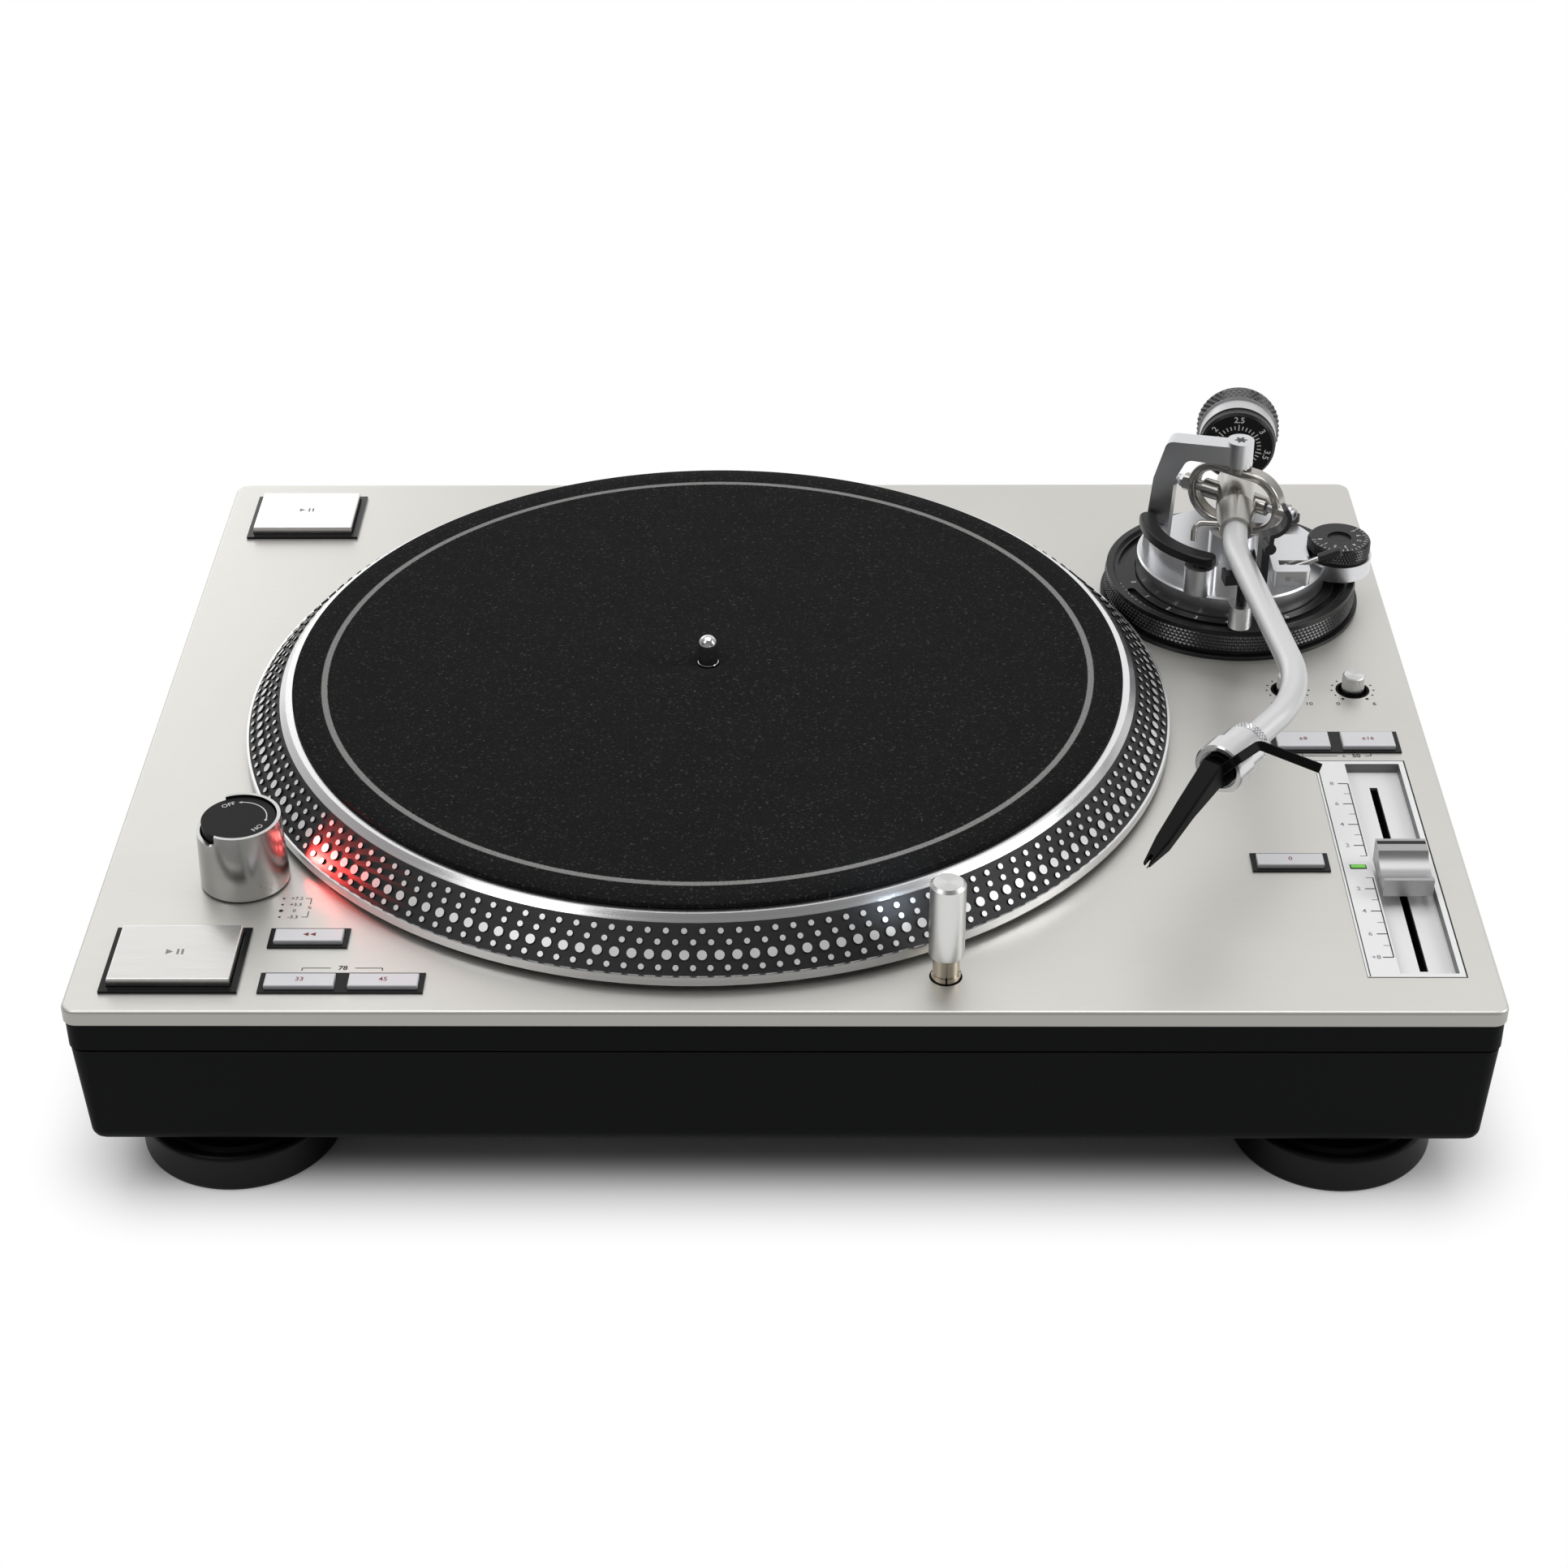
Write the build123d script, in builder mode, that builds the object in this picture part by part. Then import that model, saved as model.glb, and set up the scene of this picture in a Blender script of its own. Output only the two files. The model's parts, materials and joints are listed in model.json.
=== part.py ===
from build123d import *
from math import cos, hypot, radians, sin, sqrt
import os

# A direct-drive turntable with an S-shaped tone arm, as separate pieces in one frame.
# Millimetres, Z up. The origin lies on the floor under the middle of the deck, and +Y is the back.
os.makedirs("parts", exist_ok=True)

# Clearances
running_gap = 0.35
pin_gap = 0.05
seat_gap = 0.1

# Case: face plate, frame below it and tapered tub
deck_width = 458.0
deck_depth = 354.0
deck_top = 79.0
deck_corner = 5.0
plate_edge = 5.4
plate_face = 3.0
plate_rim = 9.0
plate_round = 1.2
frame_height = 10.4
frame_inset = 0.5
frame_wall = 5.0
parting_gap = 0.8
tub_height = 40.4
tub_inset = 0.8
tub_draft = 3.5
tub_wall = 3.0
tub_round = 6.0
tub_lip = 4.0
tub_lip_wall = 2.5

# Case screws, in columns of the tub that meet bosses under the face plate
screw_radius = 1.6
screw_head_radius = 3.2
screw_head = 2.4
screw_bite = 7.0
column_radius = 5.0
boss_length = 10.0
screw_edge = 15.0
screw_front_x = -75.0
screw_past_lamp = 23.0
screw_rear_x = (20.0, 120.0)
screw_left_y = (-40.0, 60.0)
screw_right_y = 45.0

# Levelling feet
foot_from_side = 45.0
foot_from_front = 38.0
foot_radius = 33.5
foot_height = 14.5
foot_round = 2.0
foot_neck_radius = 24.0
foot_groove_radius = 29.0
foot_groove = 1.5
stud_radius = 5.0
stud_reach = 20.0
foot_boss_radius = 11.0
foot_boss_height = 22.0

# Platter, spindle and slip mat
platter_x = -28.5
platter_y = 0.0
platter_lift = 2.3
platter_radius = 166.3
platter_lip = 3.3
platter_ledge = 0.9
strobe_band = 12.9
strobe_drop = 2.1
platter_top = 19.8
platter_bevel = 2.2
platter_web = 4.0
platter_wall = 7.2
platter_inner_draft = 8.0
platter_hub_radius = 20.0
spindle_radius = 3.55
spindle_above = 12.7
spindle_root_radius = 3.75
spindle_root_above = 0.3
shaft_radius = 5.0
shaft_depth = 36.0
cone_radius = 9.0
cone_top_radius = 7.0
cone_depth = 8.0
hub_cover = 2.0
mat_edge = 2.45
mat_thickness = 1.6
mat_hole = 4.2

# Motor under the platter
motor_opening = 60.0
motor_flange = 68.0
motor_plate_thickness = 3.0
motor_rise = 1.5
motor_boss_radius = 14.0
motor_boss_depth = 34.0
bush_wall = 3.5
bush_floor = 4.0
bush_flange_radius = 11.5
bush_flange = 1.5
bush_rise = 4.0
magnet_outer = 58.0
magnet_inner = 44.0
magnet_height = 7.0
stator_radius = 56.0
stator_board = 1.6
coil_count = 9
coil_ring = 46.0
coil_radius = 9.5
coil_hole = 4.0
air_gap = 1.0

# Start and stop buttons, and the smaller buttons
start_from_left = 33.0
start_from_front = 26.6
start_from_back = 29.3
start_flange_length = 44.4
start_flange_width = 34.2
start_length = 39.4
start_width = 29.2
start_rise = 4.0
start_flange_rise = 1.0
reverse_from_left = 74.2
reverse_from_front = 38.7
speed_from_left = 88.0
speed_from_front = 14.7
speed_pitch = 26.8
range_from_right = 33.2
range_gap = 5.4
range_pitch = 23.1
reset_from_right = 59.0
reset_y = -95.3
small_length = 22.4
small_width = 6.6
range_length = 18.7
range_width = 9.6
small_flange = 1.9
small_rise = 2.0
small_flange_rise = 0.6
bezel_lip = 1.0
bezel_depth = 9.0
bezel_floor = 2.0
cap_below = 3.4
cap_round = 0.5
stem_radius = 2.0

# Power switch with the strobe light in its core
tower_gap = 3.387
tower_from_front = 73.0
sleeve_base_radius = 14.9
sleeve_top_radius = 14.05
sleeve_height = 25.2
sleeve_wall = 1.2
sleeve_step = 4.2
sleeve_step_from_axis = 6.0
sleeve_step_round = 2.5
sleeve_off_deck = 0.8
core_radius = 12.3
core_rise = 24.4
core_depth = 12.0
core_flange = 16.0
core_flange_thickness = 2.0
window_angle = 18.0
window_width = 5.0
window_height = 14.0
window_base = 5.0
window_depth = 3.0

# Plug-in record lamp
lamp_gap = 5.225
lamp_depth_share = 158 / 177
lamp_radius = 5.8
lamp_top = 37.0
lamp_foot_radius = 4.8
lamp_foot = 8.5
lamp_stem_radius = 3.2
lamp_stem = 24.0
lamp_chamfer = 1.0
lamp_socket_wall = 2.0
lamp_socket_depth = 26.0
lamp_socket_floor = 1.5
lamp_socket_flange = 8.0
lamp_ring = 1.6
lamp_collet_slot = 0.6

# Two small knobs in wells
knob_from_right = (45.4, 21.6)
knob_y = 15.5
knob_radius = 4.0
knob_rise = 6.6
well_radius = 6.1
well_depth = 7.0
well_wall = 0.8
well_floor = 1.0
knob_below = 4.5
pot_radius = 8.0
pot_height = 6.0
knob_shaft_radius = 1.5
knob_chamfer = 0.4

# Pitch fader
tray_from_right = 26.7
tray_y = -95.6
tray_width = 31.4
tray_length = 125.8
tray_rise = 0.2
tray_depth = 4.6
tray_flange = 1.9
tray_rim = 1.8
scale_width = 10.6
tray_floor = 1.1
fader_from_right = 22.8
fader_zero_y = -97.6
fader_travel = 50.0
slot_width = 2.7
fader_stem_width = 1.6
fader_stem_length = 6.0
fader_knob_width = 16.6
fader_knob_back = 3.2
fader_knob_front = 18.0
fader_knob_top = 9.5
fader_knob_front_top = 7.4
fader_knob_hollow = 2.6
fader_knob_flat = 7.0
fader_knob_lip = 1.4
fader_knob_under = 1.0
fader_body_width = 13.0
fader_body_height = 8.0
fader_body_wall = 1.2
led_length = 5.4
led_width = 1.7
led_depth = 2.0
led_from_fader = 13.6

# Tone arm: where the pivot stands, and the bends of the tube
pivot_bearing = 23.2335
ring_gap = 1.774
arm_axis = 43.0
rear_turn = 7.2
middle_turn = 7.0
headshell_turn = 36.0
first_straight = 40.6
second_straight = 100.8
third_straight = 102.9
tube_radius = 4.5
tube_bore = 3.5
tube_bend = 55.0

# Arm hub, gimbal and pivots
hub_radius = 7.5
hub_back = 15.0
hub_back_radius = 5.6
hub_full = 12.0
hub_front = 27.0
hub_lip_radius = 5.8
rear_shaft_radius = 3.0
rear_shaft_length = 66.0
cross_radius = 3.6
cross_reach = 13.5
side_rod_radius = 1.2
side_rod_start = 18.0
side_rod_root = 4.6
side_rod_below = 2.4
side_rod_reach = 15.0
side_rod_lean = 2.0
side_rod_drop = 6.5
side_rod_bend = 3.0
gimbal_half_width = 20.0
gimbal_half_height = 13.0
gimbal_band = 3.5
gimbal_thickness = 6.0
gimbal_round = 1.2
gimbal_boss_radius = 3.4
gimbal_boss_reach = 22.0
gimbal_seat_radius = 4.0
gimbal_seat = 13.4
pivot_radius = 1.2
pivot_reach_in = 4.0
pivot_screw_radius = 2.1
pivot_screw_gap = 0.7
pivot_screw_reach = 25.0
pivot_nut_radius = 2.8
pivot_nut = 1.6
axis_pin_radius = 1.5
axis_pin_reach = 2.6

# Counterweight and stylus-force dial, as distances behind the pivot
dial_near = 41.0
dial_far = 45.2
dial_radius = 14.4
dial_hub_radius = 6.0
dial_chamfer = 0.8
weight_near = 45.6
weight_band_far = 53.0
weight_far = 62.0
weight_band_radius = 14.9
weight_grip_radius = 15.6

# Headshell collar and cartridge, as distances back from the stylus
socket_front = 43.6
collar_length = 21.4
collar_front_radius = 8.8
collar_front_length = 8.0
collar_middle_radius = 7.7
collar_neck_radius = 6.3
collar_grip_radius = 6.9
collar_grip_length = 3.2
collar_neck_length = 1.4
collar_mouth_radius = 6.9
collar_mouth_depth = 5.0
collar_chamfer = 0.5
plug_radius = 3.4
plug_length = 10.0
cartridge_neck_radius = 5.8
cartridge_root = 0.8
cartridge_root_width = 7.0
cartridge_root_height = 7.0
cartridge_back = 4.6
cartridge_back_width = 7.2
cartridge_back_height = 9.1
cartridge_back_rise = 0.65
cartridge_belly = 20.0
cartridge_belly_width = 6.4
cartridge_belly_height = 5.7
cartridge_belly_drop = 4.35
cartridge_front = 34.0
cartridge_front_width = 5.4
cartridge_front_height = 4.66
cartridge_front_drop = 10.13
cartridge_tip = 43.6
cartridge_tip_width = 2.6
cartridge_tip_height = 1.7
cartridge_tip_drop = 12.85
cartridge_corner = 0.9
tip_corner = 0.5
tip_notch_width = 1.4
tip_notch_length = 3.0
stylus_drop = 14.4
stylus_root = 5.0
stylus_root_drop = 13.65
stylus_root_radius = 0.55
stylus_tip_radius = 0.15
finger_width = 3.2
finger_thickness = 1.4
finger_forward = 2.0
finger_root_side = 1.6
finger_root_rise = 0.8
finger_top_side = 7.0
finger_top_rise = 7.3
finger_elbow_side = 9.4
finger_elbow_back = 9.2
finger_elbow_rise = 8.4
finger_tip_side = 29.7
finger_tip_back = 13.8
finger_tip_rise = 4.6
finger_bend = 2.2

# Arm base with the height ring, all from the pivot axis
ring_radius = 47.4
ring_bottom = 1.9
ring_top = 11.7
ring_bore = 36.6
ring_rim = 2.4
ring_dish = 1.2
ring_channel_radius = 41.4
ring_channel_width = 3.2
ring_channel_depth = 1.4
ring_channel_start = 200.0
ring_channel_angle = 62.0
mount_flange_radius = 49.2
mount_flange = 1.5
mount_radius = 39.6
mount_depth = 12.0
mount_collar_radius = 34.0
mount_collar_top = 8.4
base_radius = 36.0
base_bottom = 9.6
base_top = 19.0
base_chamfer = 0.6
guide_radius = 14.0
guide_wall = 3.0
guide_depth = 14.0
pillar_radius = 9.0
pillar_top = 29.0

# Yoke that carries the upper arm pivot
yoke_angle = 161.6
yoke_thickness = 8.0
yoke_foot_near = 25.0
yoke_foot_far = 34.0
yoke_leg_near = 23.4
yoke_leg_far = 31.4
yoke_knee_near = 19.0
yoke_knee_far = 27.0
yoke_leg_height = 48.0
yoke_under = 57.4
yoke_over = 64.0
yoke_over_post = 65.4
yoke_round = 3.5
post_radius = 5.0
post_bottom = 57.0
post_top = 67.0

# Cue lift: wall, boss, platform and lever
lift_radius = 32.7
lift_width = 6.4
lift_start_angle = 177.0
lift_end_angle = 246.0
lift_bottom = 31.0
lift_top = 34.4
lift_round = 1.0
lift_wall_radius = 28.5
lift_wall_width = 6.0
lift_wall_top = 28.6
lift_boss_radius = 5.6
lift_boss_top = 29.6
lift_stem_radius = 2.4
lift_stem_angle = 241.0
lift_stem_bottom = 20.5
lever_right = 18.0
lever_front = 18.8
lever_block_length = 14.0
lever_block_width = 14.0
lever_block_top = 25.0
lever_block_shift = 1.5
lever_block_round = 2.0
lever_axis_height = 21.8
lever_hub_radius = 2.4
lever_thickness = 2.8
lever_pin_radius = 1.0
lever_tilt = 22.0
lever_rod_radius = 1.0
lever_rod_length = 13.0
lever_grip_radius = 1.9
lever_grip_length = 9.0
lever_grip_round = 1.2

# Anti-skating dial on its lobe, and the height lock
skate_right = 40.5
skate_front = 1.0
skate_radius = 11.7
skate_bottom = 20.0
skate_top = 26.0
skate_dish_radius = 4.6
skate_dish = 0.8
skate_chamfer = 0.6
skate_pin_radius = 2.0
skate_pin_depth = 5.0
lobe_radius = 12.7
lobe_bottom = 13.2
lobe_top = 19.5
skate_block_length = 20.0
skate_block_width = 17.0
skate_block_top = 22.6
lock_right = 20.0
lock_back = 17.5
lock_radius = 3.2
lock_bottom = 19.4
lock_top = 22.4
lock_length = 10.0
lock_width = 3.0
lock_angle = 40.0
lock_pin_radius = 1.2
lock_pin_depth = 4.0

# Arm rest: post, cradle and latch
rest_along = 7.5
rest_post_right = 2.0
rest_boss_radius = 4.3
rest_boss_bottom = 14.6
rest_boss_top = 23.6
rest_web_width = 6.0
rest_post_radius = 2.0
rest_stud = 6.0
cradle_under_tube = 1.8
cradle_floor = 3.2
cradle_left = 5.6
cradle_left_lip = 1.4
cradle_lip_height = 1.2
cradle_right = 7.2
cradle_plate = 3.0
cradle_plate_top = 9.6
cradle_depth = 6.0
latch_pin_radius = 1.0
latch_open = 130.0
latch_inner = 5.4
latch_thickness = 1.8
latch_hook_angle = 166.0
latch_tail_angle = 45.0
latch_depth = 5.0
latch_eye_radius = 2.2
latch_eye_rise = 7.6
latch_eye_right = 8.7

# Electronics and the rear connections
board_x = -100.0
board_y = -90.0
board_length = 140.0
board_width = 80.0
board_thickness = 1.6
board_lift = 7.0
standoff_radius = 3.0
standoff_inset = 6.0
chip_size = 14.0
chip_height = 2.0
capacitor_radius = 5.0
capacitor_height = 14.0
supply_x = -120.0
supply_y = 95.0
supply_length = 100.0
supply_width = 60.0
supply_height = 30.0
supply_wall = 1.2
vent_length = 30.0
vent_width = 2.0
vent_pitch = 6.0
vent_count = 8
bay_x = -100.0
bay_width = 130.0
bay_height = 26.0
bay_bottom = 30.0
bay_depth = 14.0
bay_wall = 2.0
bay_from_back = 4.0
left_socket_x = -64.0
right_socket_x = -48.0
socket_radius = 4.1
socket_flange_radius = 6.0
socket_flange = 1.5
socket_length = 9.0
socket_bore = 1.6
ground_x = -84.0
ground_radius = 3.5
ground_length = 8.0
inlet_x = -140.0
inlet_length = 27.0
inlet_height = 19.0
inlet_depth = 16.0
inlet_wall = 2.0
inlet_pin_pitch = 7.0
inlet_pin_radius = 1.6
inlet_pin_length = 10.0

# Places worked out from the sizes above
half_width = deck_width / 2
half_depth = deck_depth / 2
plate_bottom = deck_top - plate_edge
plate_under = deck_top - plate_face
frame_bottom = plate_bottom - frame_height
tub_top = frame_bottom - parting_gap
tub_bottom = tub_top - tub_height
tub_inside = tub_bottom + tub_wall
start_x = -half_width + start_from_left
start_front_y = -half_depth + start_from_front
start_rear_y = half_depth - start_from_back
reverse_x = -half_width + reverse_from_left
reverse_y = -half_depth + reverse_from_front
speed_x = -half_width + speed_from_left
speed_y = -half_depth + speed_from_front
range_x = half_width - range_from_right
range_y = tray_y + tray_length / 2 + range_gap + small_flange + range_width / 2
reset_x = half_width - reset_from_right
strobe_inner = platter_radius - strobe_band
platter_flat = strobe_inner - platter_bevel
platter_inner = platter_flat - platter_wall
mat_radius = platter_flat - mat_edge
tower_reach = platter_radius + sleeve_base_radius + tower_gap
tower_y = -half_depth + tower_from_front
tower_x = platter_x - sqrt(tower_reach ** 2 - (tower_y - platter_y) ** 2)
lamp_reach = platter_radius + lamp_radius + lamp_gap
lamp_y = -half_depth * lamp_depth_share
lamp_x = platter_x + sqrt(lamp_reach ** 2 - (lamp_y - platter_y) ** 2)
torque_x = half_width - knob_from_right[0]
brake_x = half_width - knob_from_right[1]
tray_x = half_width - tray_from_right
fader_x = half_width - fader_from_right
pivot_distance = platter_radius + ring_radius + ring_gap
arm_x = platter_x + pivot_distance * cos(radians(pivot_bearing))
arm_y = platter_y + pivot_distance * sin(radians(pivot_bearing))
foot_x = half_width - foot_from_side
foot_y = half_depth - foot_from_front
screw_points = [(x, screw_edge - half_depth) for x in (screw_front_x, lamp_x + screw_past_lamp)]
screw_points += [(x, half_depth - screw_edge) for x in screw_rear_x]
screw_points += [(screw_edge - half_width, y) for y in screw_left_y]
screw_points += [(half_width - screw_edge, screw_right_y)]

# Directions of the arm: forward along its rear straight, along the headshell and along the pitch axis
pivot = Vector(arm_x, arm_y, deck_top + arm_axis)
up = Vector(0, 0, 1)
forward = Vector(-sin(radians(rear_turn)), -cos(radians(rear_turn)), 0)
middle = Vector(sin(radians(middle_turn)), -cos(radians(middle_turn)), 0)
headshell = Vector(-sin(radians(headshell_turn)), -cos(radians(headshell_turn)), 0)
pitch_axis = Vector(cos(radians(headshell_turn)), -sin(radians(headshell_turn)), 0)
yoke_out = Vector(cos(radians(yoke_angle)), sin(radians(yoke_angle)), 0)
first_corner = pivot + forward * first_straight
second_corner = first_corner + middle * second_straight
stylus_over = second_corner + headshell * third_straight
socket_point = stylus_over - headshell * socket_front
effective_length = hypot(stylus_over.X - arm_x, stylus_over.Y - arm_y)
print(f"effective arm length {effective_length:.1f}, pivot to spindle {pivot_distance:.1f}")


def deck_plane(above):
    """Level plane at a height above the deck face."""
    return Plane.XY.offset(deck_top + above)


def upright_plane(point, direction):
    """Vertical plane through a point: its x runs along the direction and its y runs up."""
    return Plane(origin=point, x_dir=direction, z_dir=(direction.Y, -direction.X, 0))


def standing_plane(x, y, height=0):
    """Vertical plane facing the front, with its origin over a place on the floor."""
    return Plane(origin=(x, y, height), x_dir=(1, 0, 0), z_dir=(0, -1, 0))


def turned_point(radius, angle):
    """Place on a circle round the arm pivot."""
    return (arm_x + radius * cos(radians(angle)), arm_y + radius * sin(radians(angle)))


# Face plate, with the openings for every control
with BuildPart() as top_plate:
    with BuildSketch(Plane.XY.offset(plate_bottom)):
        RectangleRounded(deck_width, deck_depth, deck_corner)
    extrude(amount=plate_edge)
    fillet(top_plate.faces().sort_by(Axis.Z)[-1].edges(), plate_round)
    with BuildSketch(Plane.XY.offset(plate_bottom)):
        RectangleRounded(deck_width - 2 * plate_rim, deck_depth - 2 * plate_rim, deck_corner)
    extrude(amount=plate_edge - plate_face, mode=Mode.SUBTRACT)
    with BuildSketch(Plane.XY.offset(plate_under)):
        with Locations(*screw_points):
            Circle(column_radius)
    extrude(amount=-boss_length)
    with BuildSketch(Plane.XY.offset(plate_under - boss_length)):
        with Locations(*screw_points):
            Circle(screw_radius + pin_gap)
    extrude(amount=screw_bite + seat_gap, mode=Mode.SUBTRACT)
    with BuildSketch(deck_plane(0)):
        with Locations((platter_x, platter_y)):
            Circle(motor_opening)
        with Locations((arm_x, arm_y)):
            Circle(mount_radius + seat_gap)
        with Locations((tower_x, tower_y)):
            Circle(core_radius + seat_gap)
        with Locations((lamp_x, lamp_y)):
            Circle(lamp_stem_radius + lamp_socket_wall + pin_gap + seat_gap)
        with Locations((torque_x, knob_y), (brake_x, knob_y)):
            Circle(well_radius + seat_gap)
        with Locations((tray_x, tray_y)):
            Rectangle(tray_width + 2 * seat_gap, tray_length + 2 * seat_gap)
        with Locations((start_x, start_front_y), (start_x, start_rear_y)):
            Rectangle(start_flange_length - 2 * bezel_lip + 2 * seat_gap,
                      start_flange_width - 2 * bezel_lip + 2 * seat_gap)
        with Locations((reverse_x, reverse_y), (reset_x, reset_y)):
            Rectangle(small_length + 2 * (small_flange - bezel_lip + seat_gap),
                      small_width + 2 * (small_flange - bezel_lip + seat_gap))
        with Locations((speed_x, speed_y)):
            Rectangle(small_length + speed_pitch + 2 * (small_flange - bezel_lip + seat_gap),
                      small_width + 2 * (small_flange - bezel_lip + seat_gap))
        with Locations((range_x, range_y)):
            Rectangle(range_length + range_pitch + 2 * (small_flange - bezel_lip + seat_gap),
                      range_width + 2 * (small_flange - bezel_lip + seat_gap))
    extrude(amount=-plate_edge, mode=Mode.SUBTRACT)
top_plate.part.label = "top_plate"
export_step(top_plate.part, "parts/top_plate.step")

# Frame between the face plate and the tub
with BuildPart() as middle_frame:
    with BuildSketch(Plane.XY.offset(frame_bottom)):
        RectangleRounded(deck_width - 2 * frame_inset, deck_depth - 2 * frame_inset, deck_corner)
        RectangleRounded(deck_width - 2 * (frame_inset + frame_wall),
                         deck_depth - 2 * (frame_inset + frame_wall), deck_corner, mode=Mode.SUBTRACT)
    extrude(amount=frame_height)
middle_frame.part.label = "middle_frame"
export_step(middle_frame.part, "parts/middle_frame.step")

# Tapered tub with its lip, screw columns, foot bosses, board posts and connection window
lip_width = deck_width - 2 * (frame_inset + frame_wall + seat_gap)
lip_depth = deck_depth - 2 * (frame_inset + frame_wall + seat_gap)
with BuildPart() as base_tub:
    with BuildSketch(Plane.XY.offset(tub_top)):
        RectangleRounded(deck_width - 2 * tub_inset, deck_depth - 2 * tub_inset, deck_corner)
    extrude(amount=-tub_height, taper=tub_draft)
    fillet(base_tub.faces().sort_by(Axis.Z)[0].edges(), tub_round)
    with BuildSketch(Plane.XY.offset(tub_top)):
        RectangleRounded(deck_width - 2 * (tub_inset + tub_wall), deck_depth - 2 * (tub_inset + tub_wall),
                         deck_corner)
    extrude(amount=tub_wall - tub_height, taper=tub_draft, mode=Mode.SUBTRACT)
    with BuildSketch(Plane.XY.offset(tub_top - tub_lip)):
        RectangleRounded(deck_width - 2 * (tub_inset + tub_wall / 2),
                         deck_depth - 2 * (tub_inset + tub_wall / 2), deck_corner)
        RectangleRounded(lip_width - 2 * tub_lip_wall, lip_depth - 2 * tub_lip_wall, deck_corner,
                         mode=Mode.SUBTRACT)
    extrude(amount=tub_lip)
    with BuildSketch(Plane.XY.offset(tub_top)):
        RectangleRounded(lip_width, lip_depth, deck_corner)
        RectangleRounded(lip_width - 2 * tub_lip_wall, lip_depth - 2 * tub_lip_wall, deck_corner,
                         mode=Mode.SUBTRACT)
    extrude(amount=tub_lip)
    with BuildSketch(Plane.XY.offset(tub_bottom)):
        with Locations(*screw_points):
            Circle(column_radius)
    extrude(amount=plate_under - boss_length - tub_bottom)
    with BuildSketch(Plane.XY.offset(tub_inside)):
        with GridLocations(2 * foot_x, 2 * foot_y, 2, 2):
            Circle(foot_boss_radius)
    extrude(amount=foot_boss_height)
    with BuildSketch(Plane.XY.offset(tub_inside)):
        with Locations((board_x, board_y)):
            with GridLocations(board_length - 2 * standoff_inset, board_width - 2 * standoff_inset, 2, 2):
                Circle(standoff_radius)
    extrude(amount=board_lift)
    with BuildSketch(Plane.XY.offset(tub_bottom)):
        with GridLocations(2 * foot_x, 2 * foot_y, 2, 2):
            Circle(stud_radius + pin_gap)
    extrude(amount=tub_wall + foot_boss_height, mode=Mode.SUBTRACT)
    with BuildSketch(Plane.XY.offset(tub_bottom)):
        with Locations(*screw_points):
            Circle(screw_radius + seat_gap)
    extrude(amount=plate_under - boss_length - tub_bottom, mode=Mode.SUBTRACT)
    with BuildSketch(Plane.XY.offset(tub_bottom)):
        with Locations(*screw_points):
            Circle(screw_head_radius + seat_gap)
    extrude(amount=screw_head + seat_gap, mode=Mode.SUBTRACT)
    with BuildSketch(Plane.XZ.offset(-half_depth)):
        with Locations((bay_x, bay_bottom + bay_height / 2)):
            Rectangle(bay_width + 2 * seat_gap, bay_height + 2 * seat_gap)
    extrude(amount=bay_depth, mode=Mode.SUBTRACT)
base_tub.part.label = "base_tub"
export_step(base_tub.part, "parts/base_tub.step")

# Case screws, one solid at each column
screw_top = plate_under - boss_length + screw_bite
with BuildPart() as base_screws:
    with BuildSketch(Plane.XY.offset(tub_bottom + seat_gap)):
        with Locations(*screw_points):
            Circle(screw_head_radius)
    extrude(amount=screw_head)
    with BuildSketch(Plane.XY.offset(tub_bottom + seat_gap)):
        with Locations(*screw_points):
            Circle(screw_radius)
    extrude(amount=screw_top - tub_bottom - seat_gap)
base_screws.part.label = "base_screws"
export_step(base_screws.part, "parts/base_screws.step")

# Four rubber feet, each on a stud that screws out of the tub
foot_places = [("foot_front_left", -foot_x, -foot_y), ("foot_front_right", foot_x, -foot_y),
               ("foot_rear_left", -foot_x, foot_y), ("foot_rear_right", foot_x, foot_y)]
for foot_name, x, y in foot_places:
    with BuildPart() as foot:
        with BuildSketch(Plane.XZ.offset(-y)):
            with BuildLine():
                Polyline((x, 0), (x + foot_radius, 0), (x + foot_radius, foot_height),
                         (x + foot_groove_radius + foot_groove, foot_height),
                         (x + foot_groove_radius, foot_height - foot_groove),
                         (x + foot_groove_radius - foot_groove, foot_height),
                         (x + foot_neck_radius, foot_height), (x + foot_neck_radius, tub_bottom - seat_gap),
                         (x + stud_radius, tub_bottom - seat_gap),
                         (x + stud_radius, tub_bottom + stud_reach),
                         (x, tub_bottom + stud_reach), close=True)
            make_face()
        revolve(axis=Axis((x, y, 0), (0, 0, 1)))
        rim = foot.edges().filter_by(GeomType.CIRCLE).sort_by(SortBy.RADIUS)[-2:]
        fillet(rim, foot_round)
    foot.part.label = foot_name
    export_step(foot.part, f"parts/{foot_name}.step")

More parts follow.
